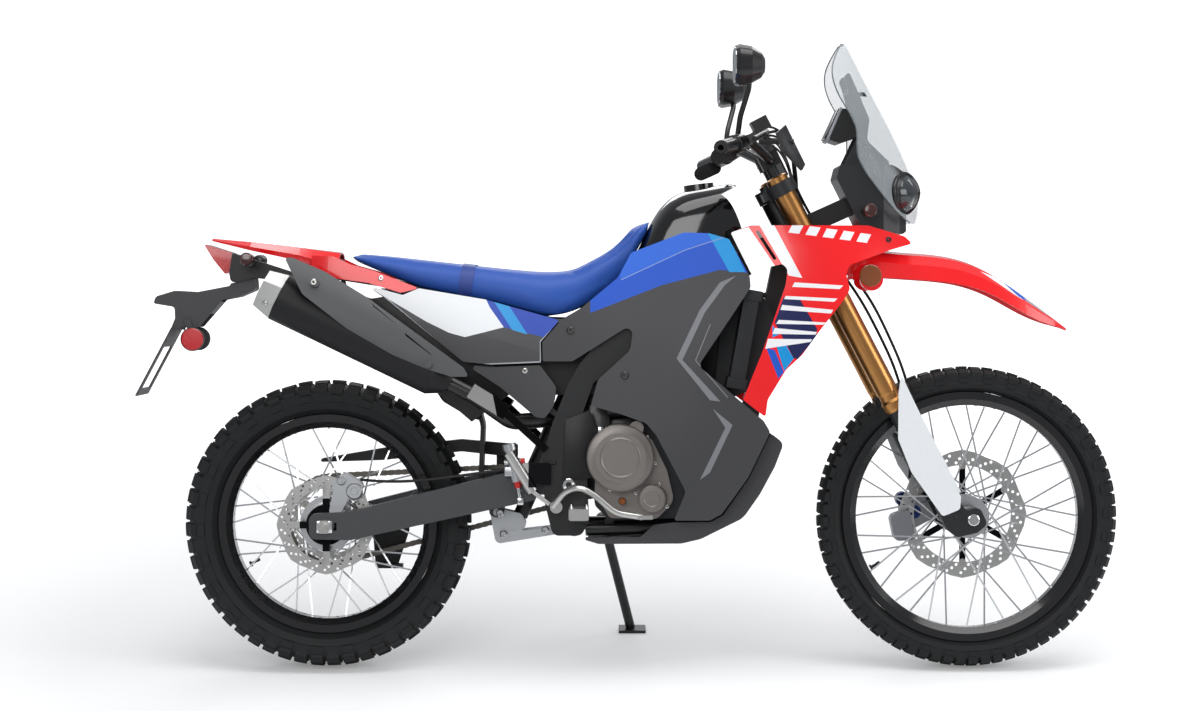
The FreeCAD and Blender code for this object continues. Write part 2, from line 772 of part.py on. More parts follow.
def caliper(disc_y, centre_x, centre_z, angle, half_long, half_deep, y_inner, y_outer, slot_top):
    # A block over the disc's edge with a slot for it.
    block = side_plate([(-half_long, -half_deep, 10), (half_long, -half_deep, 8), (half_long - 6, half_deep, 14),
                        (-half_long + 6, half_deep, 14)], y_inner, y_outer, 8)
    slot = Part.makeBox(4 * half_long, 2 * DISC_ROOM, half_deep + 7 + slot_top,
                        V(-2 * half_long, disc_y - DISC_ROOM, -half_deep - 7))
    block = block.cut(slot)
    block.rotate(V(0, 0, 0), LEFT, angle)
    block.translate(V(centre_x, 0, centre_z))
    return block


DISC_ROOM = 7.5


def front_caliper():
    y = size("front_disc_place")
    x = steer_offset - 137
    block = caliper(y, x, 40, -74, 36, 24, y - 20, y + 26, 11)
    lug = side_plate([(x - 6, 20), (x - 6, 64), (LEG_X - 20, 90), (LEG_X - 20, 20)], y + 9, LEG_Y - 20 - gap, 4)
    beside = LEG_X + size("fork_outer_radius") + 5.3
    route = [V(beside, LEG_Y, 634), V(beside, LEG_Y, 430), V(beside + 9, LEG_Y + 8, 374)]
    feature("front_caliper", Part.makeCompound([fused([block, lug]), tube(route, 5.0, 150)]), STEER)


def front_axle_pin():
    r = size("axle_radius")
    half = LEG_Y + 20 + 6
    pin = Part.makeCylinder(r, 2 * half, V(steer_offset, -half, 0), LEFT)
    bore = Part.makeCylinder(size("axle_bore_radius"), 2 * half + 2, V(steer_offset, -half - 1, 0), LEFT)
    feature("front_axle", pin.cut(bore), STEER)


def make_front_end():
    fork_tubes()
    fork_legs()
    triple_clamps()
    handlebar()
    hand_controls()
    hand_guards()
    mirrors()
    front_fender()
    fork_guards()
    front_caliper()
    front_axle_pin()


# Frame and running gear
ARM_IN = size("arm_inside")
ARM_OUT = ARM_IN + size("arm_thickness")
SPAR_IN = size("spar_inside")
SPAR_OUT = SPAR_IN + size("spar_thickness")
PIVOT = V(size("pivot_x"), 0, size("pivot_z"))
DOWN_TUBE_FOOT = V(925, 0, 430)
SEAT_RAIL = [(668, 104, 780), (440, 100, 786), (150, 92, 871), (-60, 62, 904)]
RAIL_RADIUS = 11.0
HEAD_MIDDLE = (LOWER_TOP + UPPER_TOP - CLAMP + 8) / 2
STAY_START = (20, 0, HEAD_MIDDLE - 1)
STAY_END = (196, 0, HEAD_MIDDLE - 11)


def beams(extra):
    # The two upper beams from the seat to the head, as they are or a little larger.
    parts = []
    for side in (-1, 1):
        knee = V(700, side * (SPAR_IN + SPAR_OUT) / 2, 790)
        middle = V(880, side * 88, 880)
        parts.append(bar(knee, middle, SPAR_OUT - SPAR_IN + extra, 52 + extra))
        parts.append(bar(middle, steer_point(-8, side * 20, HEAD_MIDDLE - 7), 24 + extra, 60 + extra))
        parts.append(Part.makeSphere(24 + extra / 2, middle))
    return parts


def frame():
    head_low = LOWER_TOP + gap
    head_high = UPPER_TOP - (CLAMP - 8) - gap
    head = Part.makeCylinder(27, head_high - head_low, V(0, 0, head_low), UP)
    head = head.transformed(STEER.toMatrix())
    parts = [head] + beams(0)
    for side in (-1, 1):
        plate = [(672, 812), (718, 800), (716, 765), (666, 691), (604, 650), (573, 565), (562, 505), (588, 452),
                 (594, 340), (576, 306), (512, 306), (494, 380), (488, 480), (512, 560), (548, 648), (572, 690)]
        parts.append(side_plate(plate, side * SPAR_IN, side * SPAR_OUT, 18))
        cradle = [V(925, side * 14, 440), V(905, side * 70, 372), V(850, side * 92, 322), V(586, side * 112, 318)]
        parts.append(tube(cradle, 13, 60))
        parts.append(tube([V(x, side * y, z) for x, y, z in SEAT_RAIL], RAIL_RADIUS, 120))
        brace = [V(530, side * 108, 570), V(300, side * 104, 730), V(140, side * 94, 866)]
        parts.append(tube(brace, 9, 120))
    parts.append(bar(steer_point(-16, 0, HEAD_MIDDLE - 14), DOWN_TUBE_FOOT + V(4, 0, -8), 44, 40))
    for x, z, r in ((690, 778, 13), (640, 700, 12), (CROSS_TUBE.x, CROSS_TUBE.z, CROSS_RADIUS), (-50, 903, 8),
                    (200, 858, 8)):
        reach = SPAR_IN + 4 if x > 300 else (64 if x < 0 else 92)
        parts.append(Part.makeCylinder(r, 2 * reach, V(x, -reach, z), LEFT))
    parts.append(bar(steer_point(*STAY_START), steer_point(*STAY_END), 40, 44))
    for x, z, reach in ((970, 845, 50), (940, 648, 40)):
        parts.append(Part.makeCylinder(6, 46.7, V(x, -56.7, z), LEFT))
        parts.append(Part.makeCylinder(6, reach, V(x, -14, z), AHEAD))
    shape = fused(parts)
    stem_hole = Part.makeCylinder(size("stem_radius") + gap, 400, V(0, 0, head_low - 100), UP)
    shape = shape.cut(stem_hole.transformed(STEER.toMatrix()))
    return shape


PIN_RADIUS = 8.0
ROCKER_TOP = V(384, 0, 352)
ROCKER_LINK = V(395, 0, 294)
SHOCK_LOW = V(432, 0, 330)
SHOCK_TOP = V(596, 0, 702)
CROSS_TUBE = V(560, 0, 316)
CROSS_RADIUS = 12.0


def swingarm():
    axle_z = rear_axle_z
    shapes = []
    for side in (-1, 1):
        outline = [(-34, axle_z - 28, 16), (60, axle_z - 30, 10), (280, 344, 60), (474, 386), (478, 446, 10),
                   (400, 444, 30), (280, 416, 60), (58, axle_z + 34, 10), (-34, axle_z + 28, 16)]
        arm = side_plate(outline, side * ARM_IN, side * ARM_OUT, 8)
        shapes.append(arm)
        lug = side_plate([(470, 396), (PIVOT.x, PIVOT.z - 22, 22), (PIVOT.x + 22, PIVOT.z, 22),
                          (PIVOT.x, PIVOT.z + 22, 22), (470, 442)], side * 62, side * (SPAR_IN - 1), 8)
        shapes.append(lug)
    shapes.append(Part.makeBox(52, 2 * ARM_OUT - 20, 34, V(350, -ARM_OUT + 10, 366)))
    for side in (-1, 1):
        ear = [(364, 380), (404, 380), (400, 346, 10), (384, 338, 14), (368, 346, 10)]
        shapes.append(side_plate(ear, side * 28, side * 36, 3))
    shapes.append(Part.makeCylinder(20, 2 * (SPAR_IN - 1), V(PIVOT.x, -SPAR_IN + 1, PIVOT.z), LEFT))
    arm = fused(shapes)
    bore = Part.makeCylinder(9 + gap, 2 * ARM_OUT, V(PIVOT.x, -ARM_OUT, PIVOT.z), LEFT)
    arm = arm.cut(bore).cut(ring_y(PIN_RADIUS + gap, 0, ROCKER_TOP.x, ROCKER_TOP.z, -50, 50))
    slot = Part.makeBox(46, 2 * ARM_OUT + 2, 2 * size("axle_radius") + 0.2,
                        V(-18, -ARM_OUT - 1, axle_z - size("axle_radius") - 0.1))
    feature("swingarm", arm.cut(slot))


def pivot_bolt():
    length = 2 * (SPAR_OUT + 8)
    pin = Part.makeCylinder(9, length, V(PIVOT.x, -length / 2, PIVOT.z), LEFT)
    heads = [Part.makeCylinder(15, 8, V(PIVOT.x, SPAR_OUT, PIVOT.z), LEFT),
             Part.makeCylinder(15, 8, V(PIVOT.x, -SPAR_OUT - 8, PIVOT.z), LEFT)]
    return fused([pin] + heads)


def rear_axle():
    r = size("axle_radius")
    half = ARM_OUT + 14
    pin = Part.makeCylinder(r, 2 * half, V(0, -half, rear_axle_z), LEFT)
    nuts = []
    for side in (-1, 1):
        y = ARM_OUT + seat_gap if side > 0 else -ARM_OUT - seat_gap - 10
        hexagon = [V(17 * math.cos(math.radians(60 * k)), y, rear_axle_z + 17 * math.sin(math.radians(60 * k)))
                   for k in range(6)]
        nuts.append(Part.Face(Part.makePolygon(hexagon + [hexagon[0]])).extrude(V(0, 10, 0)))
    bore = Part.makeCylinder(size("axle_bore_radius"), 2 * half + 2, V(0, -half - 1, rear_axle_z), LEFT)
    feature("rear_axle", fused([pin] + nuts).cut(bore))


def rear_caliper():
    y = -size("rear_disc_place")
    block = caliper(y, 52, rear_axle_z + 88, 30.5, 34, 23, -ARM_IN + gap, y + 15, 15)
    bracket = side_plate([(8, rear_axle_z + 30, 4), (36, rear_axle_z + 30, 4), (66, rear_axle_z + 88, 6),
                          (22, rear_axle_z + 96, 6)], -ARM_IN + gap, y - 9, 5)
    feature("rear_caliper", fused([block, bracket]))


FRONT_SPROCKET = V(626, 0, 424)


def chain_loop(offset):
    # The pitch line moved outward by an offset: straight runs between two sprockets, bent link by link.
    rear_r = pitch_radius(int(size("rear_teeth"))) + offset
    front_r = pitch_radius(int(size("front_teeth"))) + offset
    rear_c = V(0, 0, rear_axle_z)
    front_c = FRONT_SPROCKET
    span = front_c - rear_c
    slope = math.atan2(span.z, span.x)
    dip = math.asin((rear_r - front_r) / span.Length)
    top = slope - dip + math.pi / 2
    low = slope + dip - math.pi / 2

    def round_sprocket(centre, radius, start, end, steps):
        angles = [start + (end - start) * k / steps for k in range(steps + 1)]
        return [centre + V(radius * math.cos(angle), 0, radius * math.sin(angle)) for angle in angles]

    points = round_sprocket(front_c, front_r, top, low, int(size("front_teeth")) + 4)
    points += round_sprocket(rear_c, rear_r, low, top - 2 * math.pi, int(size("rear_teeth")) // 2 + 2)
    return Part.makePolygon(points + [points[0]])


def band(outside, inside, y_from, y_to):
    wide = V(0, y_to - y_from, 0)
    outer = Part.Face(chain_loop(outside)).extrude(wide)
    inner = Part.Face(chain_loop(inside)).extrude(wide * 3).translated(wide * -1)
    return outer.cut(inner).translated(V(0, y_from, 0))


def drive_chain():
    y = size("chain_line")
    plates = [band(7, -7, y - 8, y - 4), band(7, -7, y + 4, y + 8)]
    rollers = band(4, -3, y - 4.5, y + 4.5)
    feature("drive_chain", fused(plates + [rollers]))


def front_sprocket():
    y = size("chain_line")
    tip = pitch_radius(int(size("front_teeth"))) - 3 - seat_gap
    disc = ring_y(tip, 0, FRONT_SPROCKET.x, FRONT_SPROCKET.z, y - 3.5, y + 3.5)
    return disc.fuse(ring_y(14, 0, FRONT_SPROCKET.x, FRONT_SPROCKET.z, 60, y))


def chain_guards():
    y = size("chain_line")
    top = [(-78, 458), (120, 492, 30), (300, 512, 40), (430, 500), (430, 470), (300, 484, 40), (120, 464, 30)]
    cover = side_plate(top, y - 12, y + 14, 4)
    hollow = side_plate([(x, z - 6) for x, z, *rest in top], y - 9, y + 11, 4)
    guide = side_plate([(92, 312), (176, 326), (178, 300), (150, 214), (100, 214)], y + 9.5, y + 14.5, 8)
    rub = Part.makeBox(60, 28, 10, V(104, y - 14, 214))
    tab = side_plate([(380, 496, 4), (414, 496, 4), (414, 426, 6), (380, 426, 6)], y + 11.5, ARM_IN - gap, 4)
    feature("chain_guards", Part.makeCompound([fused([cover.cut(hollow), tab]), fused([guide, rub])]))


def shock():
    way = (SHOCK_TOP - SHOCK_LOW).normalize()
    body = rod(SHOCK_LOW + way * 12, SHOCK_TOP - way * 60, 17)
    spring = rod(SHOCK_LOW + way * 130, SHOCK_TOP - way * 90, 33)
    eye = [ring_y(17, 0, SHOCK_LOW.x, SHOCK_LOW.z, -14, 14), ring_y(17, 0, SHOCK_TOP.x, SHOCK_TOP.z, -14, 14)]
    mount = ring_y(PIN_RADIUS, 0, SHOCK_TOP.x, SHOCK_TOP.z, -SPAR_IN + gap, SPAR_IN - gap)
    reservoir = rod(V(548, -54, 610), V(590, -56, 690), 20)
    neck = rod(V(588, -52, 684), SHOCK_TOP, 9)
    whole = fused([body, spring, mount] + eye + [reservoir, neck])
    feature("shock_absorber", whole.cut(ring_y(PIN_RADIUS + gap, 0, SHOCK_LOW.x, SHOCK_LOW.z, -20, 20)))


def linkage():
    # A rocker under the swingarm and its two pull rods to the frame's lower cross tube.
    parts = []
    for side in (-1, 1):
        plate = side_plate([(366, 364, 14), (382, 278, 16), (412, 284, 14), (454, 322, 14), (440, 348, 14)],
                           side * 18, side * 26, 10)
        pull = side_plate([(386, 284, 8), (398, 282, 8), (CROSS_TUBE.x, 308, 4), (CROSS_TUBE.x, 324, 4),
                           (392, 304, 8)], side * 28, side * 34, 6)
        eye = ring_y(19, 0, CROSS_TUBE.x, CROSS_TUBE.z, side * 28, side * 34)
        parts += [plate, pull, eye]
    for spot, reach in ((ROCKER_TOP, 38), (ROCKER_LINK, 36), (SHOCK_LOW, 28)):
        parts.append(ring_y(PIN_RADIUS, 0, spot.x, spot.z, -reach, reach))
    whole = fused(parts)
    feature("shock_linkage", whole.cut(ring_y(CROSS_RADIUS + gap, 0, CROSS_TUBE.x, CROSS_TUBE.z, -50, 50)))


def side_stand():
    # Modelled down: the leg leans out from its pin to a foot that lies flat on the leaned floor.
    parts = [rod(STAND_PIVOT + STAND_DOWN * 34, STAND_FOOT, size("stand_leg_radius")),
             bar(STAND_PIVOT, STAND_PIVOT + STAND_DOWN * 46, 13, 21, STAND_AXIS)]
    foot = Part.makeBox(64, 46, 7, V(-28, -23, 0))
    foot.transformShape(Placement(V(STAND_FOOT.x, STAND_FOOT.y, floor_at(STAND_FOOT.y)),
                                  Rotation(AHEAD, size("lean_angle"))).toMatrix())
    parts.append(foot)
    eye = Part.makeCylinder(19, 14, STAND_PIVOT - STAND_AXIS * 7, STAND_AXIS)
    shape = fused(parts + [eye])
    shape = shape.cut(Part.makeCylinder(size("stand_pin_radius") + gap, 60, STAND_PIVOT - STAND_AXIS * 30,
                                        STAND_AXIS))
    feature("side_stand", shape)


def floor_at(y):
    # Height of the leaned floor in the upright drawing, at a distance from the middle.
    return (y * math.sin(lean) - floor_lift) / math.cos(lean)


STAND_PIVOT = V(628, SPAR_OUT + 26, 318)
STAND_FOOT = V(694, size("stand_foot_y"), floor_at(size("stand_foot_y")) + 8)
STAND_DOWN = (STAND_FOOT - STAND_PIVOT).normalize()
STAND_UP = V(-0.98, 0.14, 0.08).normalize()
STAND_AXIS = STAND_DOWN.cross(STAND_UP).normalize()


def stand_bracket():
    inner = STAND_PIVOT - STAND_AXIS * 7.3
    pin = rod(STAND_PIVOT - STAND_AXIS * 12, STAND_PIVOT + STAND_AXIS * 11.3, size("stand_pin_radius"))
    head = Part.makeCylinder(13, 4, STAND_PIVOT + STAND_AXIS * 7.3, STAND_AXIS)
    ear = Part.makeCylinder(18, 9, inner, STAND_AXIS * -1)
    arm = bar(inner - STAND_AXIS * 4.5, V(612, 112, 318), 9, 24, STAND_AXIS)
    return fused([pin, head, ear, arm])


# Engine and exhaust
def engine():
    lower = [(606, 372, 20), (604, 470, 20), (640, 530, 20), (700, 556, 10), (812, 556, 20), (862, 480, 40),
             (868, 400, 30), (820, 344, 20), (640, 338, 20)]
    right = side_plate(lower, -98, 66)
    ahead = [(678, 350, 6), (678, 548, 6), (700, 556, 10), (812, 556, 20), (862, 480, 40), (868, 400, 30),
             (820, 344, 20)]
    left = side_plate(ahead, 66, 98)
    barrel = side_plate([(706, 552, 4), (812, 552, 4), (838, 690, 4), (728, 706, 4)], -62, 62, 6)
    head = side_plate([(722, 704, 10), (846, 686, 10), (868, 772, 24), (842, 806, 20), (756, 816, 20),
                       (730, 780, 16)], -58, 58, 6)
    fins = []
    for k in range(5):
        z = 570 + 25 * k
        x0 = 704 + 3.6 * k
        fins.append(side_plate([(x0 - 4, z + 2, 2), (x0 + 112, z - 12, 2), (x0 + 113, z - 8, 2), (x0 - 3, z + 6, 2)],
                               -70, 70, 2))
    half = 93.9
    foot = ring_y(9, 0, 640, 320, -half, half).fuse(Part.makeBox(18, 2 * half, 24, V(631, -half, 320)))
    feature("engine", fused([right, left, barrel, head, front_sprocket(), foot] + fins))


def engine_covers():
    right = []
    case = [(612, 520, 20), (606, 400, 20), (640, 346, 14), (745, 344, 20), (784, 384, 30), (768, 452, 30),
            (735, 520, 30), (690, 556, 20), (640, 556, 20)]
    right.append(side_plate(case, -98 - seat_gap, -128, 6))
    clutch = Part.makeCone(75, 70, 24, V(664, -128, 483), LEFT * -1)
    disc = Part.makeCone(46, 43, 9, V(664, -152, 483), LEFT * -1)
    small = Part.makeCone(32, 29, 14, V(737, -128, 390), LEFT * -1)
    cap = Part.makeCylinder(16, 26, V(699, -128, 548), LEFT * -1)
    right += [clutch, disc, small, cap]
    left_cover = [(690, 400, 30), (700, 520, 30), (800, 530, 30), (846, 470, 30), (840, 390, 30), (760, 352, 30)]
    left = side_plate(left_cover, 98 + seat_gap, 118, 6)
    stator = Part.makeCone(58, 52, 16, V(766, 118, 444), LEFT)
    sprocket = side_plate([(604, 372, 12), (604, 476, 12), (668, 486, 14), (676, 440), (676, 372, 14)],
                          98.5, 112, 6)
    bridge = side_plate([(660, 400, 4), (660, 450, 4), (700, 450, 4), (700, 400, 4)], 98.5, 110, 3)
    feature("engine_covers", Part.makeCompound([fused(right), fused([left, stator, sprocket, bridge])]))


MUFFLER_REAR = V(-96, -152, 841)
MUFFLER_FRONT = V(283, -150, 648)


def exhaust_pipe():
    way = (MUFFLER_FRONT - MUFFLER_REAR).normalize()
    route = [V(868.3, -20, 735), V(904, -20, 722), V(905, -22, 650), V(894, -34, 596), V(846, -92, 588),
             V(700, -92, 590), V(636, -80, 582), V(520, -78, 566), V(420, -114, 560), MUFFLER_FRONT + way * 60,
             MUFFLER_FRONT + way * gap]
    feature("exhaust_pipe", tube(route, 18, 50))


def muffler_parts():
    way = (MUFFLER_FRONT - MUFFLER_REAR).normalize()
    length = (MUFFLER_FRONT - MUFFLER_REAR).Length
    body = Part.makeCone(55, 46, length - 40, MUFFLER_REAR, way)
    neck = Part.makeCone(46, 24, 40, MUFFLER_FRONT - way * 40, way)
    hanger = bar(V(40, -106, 796), V(40, -77, 874.6), 10, 34, AHEAD)
    can = fused([body, neck, hanger])
    cap_base = MUFFLER_REAR - way * seat_gap
    hexagon = []
    tip = []
    side = LEFT
    up = way.cross(side).normalize()
    for k in range(8):
        angle = math.radians(45 * k + 22.5)
        hexagon.append(cap_base + side * (57 * math.cos(angle)) + up * (57 * math.sin(angle)))
        tip.append(cap_base - way * 44 + side * (44 * math.cos(angle)) + up * (46 * math.sin(angle)))
    cap = section_loft([Part.makePolygon(hexagon + [hexagon[0]]), Part.makePolygon(tip + [tip[0]])], True)
    outlet = Part.makeCylinder(20, 60, cap_base - way * 50, way)
    feature("muffler", Part.makeCompound([can, cap.cut(outlet)]))


def muffler_guard():
    rows = []
    way = (MUFFLER_FRONT - MUFFLER_REAR).normalize()
    up = V(-way.z, 0, way.x).normalize()
    for t in (-60, 150, 300, 480):
        fall = max(0.0, t - 100) * 0.05
        row = []
        for d, y in ((-70, -188), (-20, -211), (30, -214), (70, -200), (100, -180)):
            row.append(MUFFLER_REAR + way * t + up * d + V(0, y - MUFFLER_REAR.y + fall, 0))
        rows.append(row)
    surface = Part.BSplineSurface()
    surface.interpolate(rows)
    outline = [(-82, 929, 6), (-40, 847, 30), (59, 770, 60), (158, 713, 60), (236, 680, 20), (289, 664, 10),
               (326, 664, 4), (315, 684, 10), (99, 841, 40), (9, 896, 40), (-62, 927, 10)]
    cutter = side_plate(outline, -260, -120, 6)
    for slot in ([(108, 829), (170, 777), (176, 772), (112, 822)],
                 [(183, 763), (242, 716), (246, 709), (188, 754)]):
        cutter = cutter.cut(side_plate(slot, -261, -119, 1.5))
    sheet_face = surface.toShape().common(cutter)
    guard = sheet_face.Faces[0].extrude(V(0, 3, 0))
    posts = []
    for x, z in ((-11, 871), (238, 692)):
        post = Part.makeCylinder(8, 80, V(x, -212, z), LEFT)
        ahead = Part.makeCone(55 + seat_gap, 46 + seat_gap, (MUFFLER_FRONT - MUFFLER_REAR).Length - 40,
                              MUFFLER_REAR, way)
        stub = post.cut(ahead).cut(Part.makeBox(60, 400, 60, V(x - 30, -170, z - 30)))
        posts.append(stub.Solids[0])
    feature("muffler_guard", fused([guard] + posts))


def radiator():
    low = V(925, -105, 660)
    way = V(35, 0, 200).normalize()
    core = bar(low, low + way * 176, 90, 34, LEFT)
    tanks = [bar(low - way * 24, low - way * gap, 96, 44, LEFT),
             bar(low + way * (176 + gap), low + way * 199, 96, 44, LEFT)]
    guard = side_plate([(880, 655, 10), (892, 634, 8), (992, 634, 8), (1016, 720, 20), (1020, 780, 20),
                        (984, 848, 8), (900, 852, 10)], -61, -57.1, 6)
    feature("radiator", fused([core, guard] + tanks))


def airbox():
    # The box under the seat, with a guard on each side of the shock absorber.
    wall = 86
    outline = [(368, 640, 12), (520, 640, 12), (526, 706, 10), (556, 728, 10), (650, 738, 10), (656, 764, 10),
               (640, 806, 10), (600, 816, 10), (560, 792, 10), (520, 784, 10), (430, 800, 20), (372, 806, 16)]
    parts = [side_plate(outline, -wall, wall)]
    for side in (-1, 1):
        flap = [(500, 620, 10), (606, 620, 10), (618, 690, 10), (616, 750, 6), (500, 750, 6)]
        parts.append(side_plate(flap, side * (wall - 4), side * wall))
        for x, z in ((500, 785), (400, 797)):
            parts.append(Part.makeCylinder(7, 10, V(x, side * (wall - 2), z), LEFT * side))
    whole = fused(parts).cut(ring_y(PIN_RADIUS + gap, 0, SHOCK_TOP.x, SHOCK_TOP.z, -100, 100))
    rails = [tube([V(x, side * y, z) for x, y, z in SEAT_RAIL], RAIL_RADIUS + gap, 120) for side in (-1, 1)]
    feature("airbox", whole.cut(rails))


# Seat, tank and panels
SEAT = [
    (52, 938, 931, 50), (92, 936, 912, 84), (150, 931, 888, 102), (215, 924, 864, 112), (305, 914, 842, 122),
    (430, 901, 813, 128), (520, 897, 797, 124), (560, 903, 806, 116), (600, 922, 831, 106), (640, 945, 860, 92),
    (680, 982, 908, 80), (712, 1012, 966, 70), (729, 1021, 1006, 56),
]


def cushion_ring(x, top, low, half):
    deep = top - low
    right = [(-half * 0.93, low), (-half * 0.99, low + deep * 0.2), (-half, top - deep * 0.42),
             (-half * 0.88, top - deep * 0.16), (-half * 0.55, top - deep * 0.03)]
    left = [(-y, z) for y, z in reversed(right)]
    over = Part.BSplineCurve()
    over.interpolate([V(x, y, z) for y, z in right + [(0, top)] + left])
    return Part.Wire([over.toShape(), Part.makeLine(V(x, half * 0.93, low), V(x, -half * 0.93, low))])


def seat_shape():
    return section_loft([cushion_ring(*station) for station in SEAT])


def seat():
    feature("seat", seat_shape())


TANK = [
    (704, 946, 826, 84), (745, 1026, 846, 104), (795, 1074, 872, 116), (850, 1088, 904, 120),
    (912, 1097, 930, 112), (962, 1032, 954, 84),
]


def steering_room(radius, low, high):
    # What the fork legs and clamps sweep at full lock, with room round it.
    reach = math.hypot(LEG_X, LEG_Y)
    return Part.makeCylinder(reach + radius, high - low, V(0, 0, low), UP).transformed(STEER.toMatrix())


def fuel_tank():
    body = section_loft([cushion_ring(*station) for station in TANK])
    body = body.cut(steering_room(42, 600, 910)).cut(beams(0.8))
    cap = Part.makeCylinder(34, 18, V(846, 0, 1080), V(-0.12, 0, 1))
    feature("fuel_tank", fused([body, cap]))


# Half width of the bodywork, by place along the machine and height.
WIDTH_X = (-240, -60, 150, 330, 500, 650, 800, 930, 1050, 1180, 1330)
WIDTHS = {
    300: (60, 95, 108, 116, 126, 148, 150, 140, 132, 130, 130),
    450: (60, 95, 116, 130, 140, 164, 184, 180, 172, 164, 150),
    600: (62, 98, 122, 140, 148, 162, 188, 192, 188, 180, 160),
    700: (66, 100, 126, 144, 148, 156, 184, 196, 194, 188, 160),
    800: (68, 100, 128, 142, 142, 146, 172, 188, 192, 184, 152),
    900: (62, 92, 120, 128, 126, 122, 148, 168, 180, 174, 134),
    1000: (48, 78, 100, 104, 100, 100, 124, 152, 166, 158, 120),
}


def bodywork_surface(offset=0.0):
    curves = []
    for i, x in enumerate(WIDTH_X):
        curve = Part.BSplineCurve()
        curve.interpolate([V(x, -(WIDTHS[z][i] + offset), z) for z in sorted(WIDTHS)])
        curves.append(Part.Wire([curve.toShape()]))
    return Part.makeLoft(curves, False, False)


def skin_at(x, z, offset=0.0):
    # Half width of the bodywork's surface at a spot in the side view.
    line = Part.makeLine(V(x, 0, z), V(x, -260, z))
    spots = bodywork_surface(offset).distToShape(line)[1]
    return -spots[0][0].y


def panel(outline, offset=0.0, radius=6.0, holes=(), posts=()):
    # A moulded panel: the bodywork's surface inside an outline, as thick as the sheet says,
    # with round posts behind it, each given by its place, the half width it reaches in to, and its radius.
    thick = size("panel_thickness")
    cutter = side_plate(outline, -260, -20, radius)
    for hole in holes:
        cutter = cutter.cut(side_plate(hole, -261, -19, 2))
    skin = bodywork_surface(offset).common(cutter)
    parts = [skin.Faces[0].extrude(V(0, thick, 0))]
    for x, z, reach, post_radius in posts:
        outer = skin_at(x, z, offset) - thick / 2
        parts.append(Part.makeCylinder(post_radius, outer - reach, V(x, -outer, z), LEFT))
    return fused(parts)


def side_covers():
    outline = [(92, 868, 4), (176, 845, 8), (213, 860), (361, 835, 30), (527, 789, 4), (485, 740, 6), (486, 694, 4),
               (374, 690, 30), (312, 696, 10), (146, 831, 8)]
    lower = panel(lower_cover_outline(), -6, posts=[(420, 646, 115.4, 6)])
    upper = panel(outline, posts=[(300, 824, 107.6, 6)])
    feature("side_covers", Part.makeCompound([upper, mirrored(upper), lower, mirrored(lower)]))


def lower_cover_outline():
    outline = [(316, 690, 6), (374, 684, 20), (484, 688, 6), (520, 640, 16), (515, 599, 16), (495, 570, 10),
               (474, 572, 10), (394, 640, 30)]
    return outline


def side_cowls():
    outline = [(571, 812, 8), (531, 789, 4), (489, 740, 6), (490, 697, 4), (556, 697, 10), (693, 783, 14),
               (685, 722, 30), (613, 656, 20), (597, 598, 6), (664, 580, 20), (720, 560, 20), (742, 534, 20),
               (778, 466, 20), (808, 408, 20), (782, 343, 4), (862, 343, 10), (888, 357, 14), (946, 439, 20),
               (995, 541, 12), (980, 566, 8), (902, 632, 8), (835, 688, 14), (952, 862, 14), (950, 886, 4),
               (905, 970, 6), (861, 983, 10), (805, 985, 30), (688, 940, 6), (658, 884, 40)]
    feature("side_cowls", both_sides(panel(outline, posts=[(800, 840, 112.1, 8)])))


def front_shrouds():
    outline = [(909, 984, 4), (978, 1009, 30), (1029, 1022, 40), (1065, 1024, 30), (1140, 1016, 40),
               (1215, 1000, 40), (1300, 976, 20), (1317, 960, 4), (1271, 947, 30), (1171, 911, 16), (1164, 890, 16),
               (1172, 858, 12), (1158, 834, 14), (1102, 763, 60), (1065, 712, 40), (1029, 679, 40), (989, 613, 20),
               (984, 574, 4), (934, 613, 4), (978, 723, 30), (1000, 785, 30), (1029, 867, 14), (1034, 903, 14),
               (1022, 914, 8), (978, 903, 8), (955, 889, 4)]
    slot = [(964, 986), (970, 989), (1010, 926), (1004, 922)]
    feature("front_shrouds", both_sides(panel(outline, 0, 6, [slot], [(958, 934, 69.9, 6)])))


def skid_plate():
    # The engine's tray: a floor with raised sides, carried forward and up in front.
    outline = [(1000, 536, 8), (1029, 513, 16), (1009, 461, 40), (976, 400, 60), (938, 346, 50), (843, 299, 50),
               (800, 289, 30), (614, 288, 30), (566, 303, 8), (708, 303, 10), (738, 331, 10), (782, 336, 10),
               (866, 337, 14), (893, 352, 12), (952, 436, 20)]
    outside = SPAR_OUT + 7
    inside = SPAR_OUT + 1 + gap
    side = side_plate(outline, -outside, outside, 6)
    hollow = [(990, 545, 4), (1018, 512, 8), (1000, 466, 30), (968, 404, 50), (930, 352, 40), (840, 306, 40),
              (800, 295, 20), (540, 295, 4), (540, 460, 4), (900, 700, 4)]
    tray = side.cut(side_plate(hollow, -inside, inside, 4))
    pads = [Part.makeBox(44, 22, 10.7, V(640, y - 11, 294)) for y in (-108, 108)]
    feature("skid_plate", fused([tray] + pads))


def tail_ring(x, top, low, half, inset, drop):
    rise = top - low
    right = [(-half * 0.55 + inset, top - rise * 0.05 - inset), (-half + inset, low + rise * 0.42 - inset),
             (-half * 0.97 + inset, low - drop)]
    points = [V(x, 0, top - inset)] + [V(x, y, z) for y, z in right]
    points += [V(x, -y, z) for y, z in reversed(right)]
    return Part.makePolygon(points + [points[0]])


TAIL = [(-264, 974, 968, 24), (-173, 966, 946, 62), (-60, 953, 922, 92), (32, 942, 886, 104)]


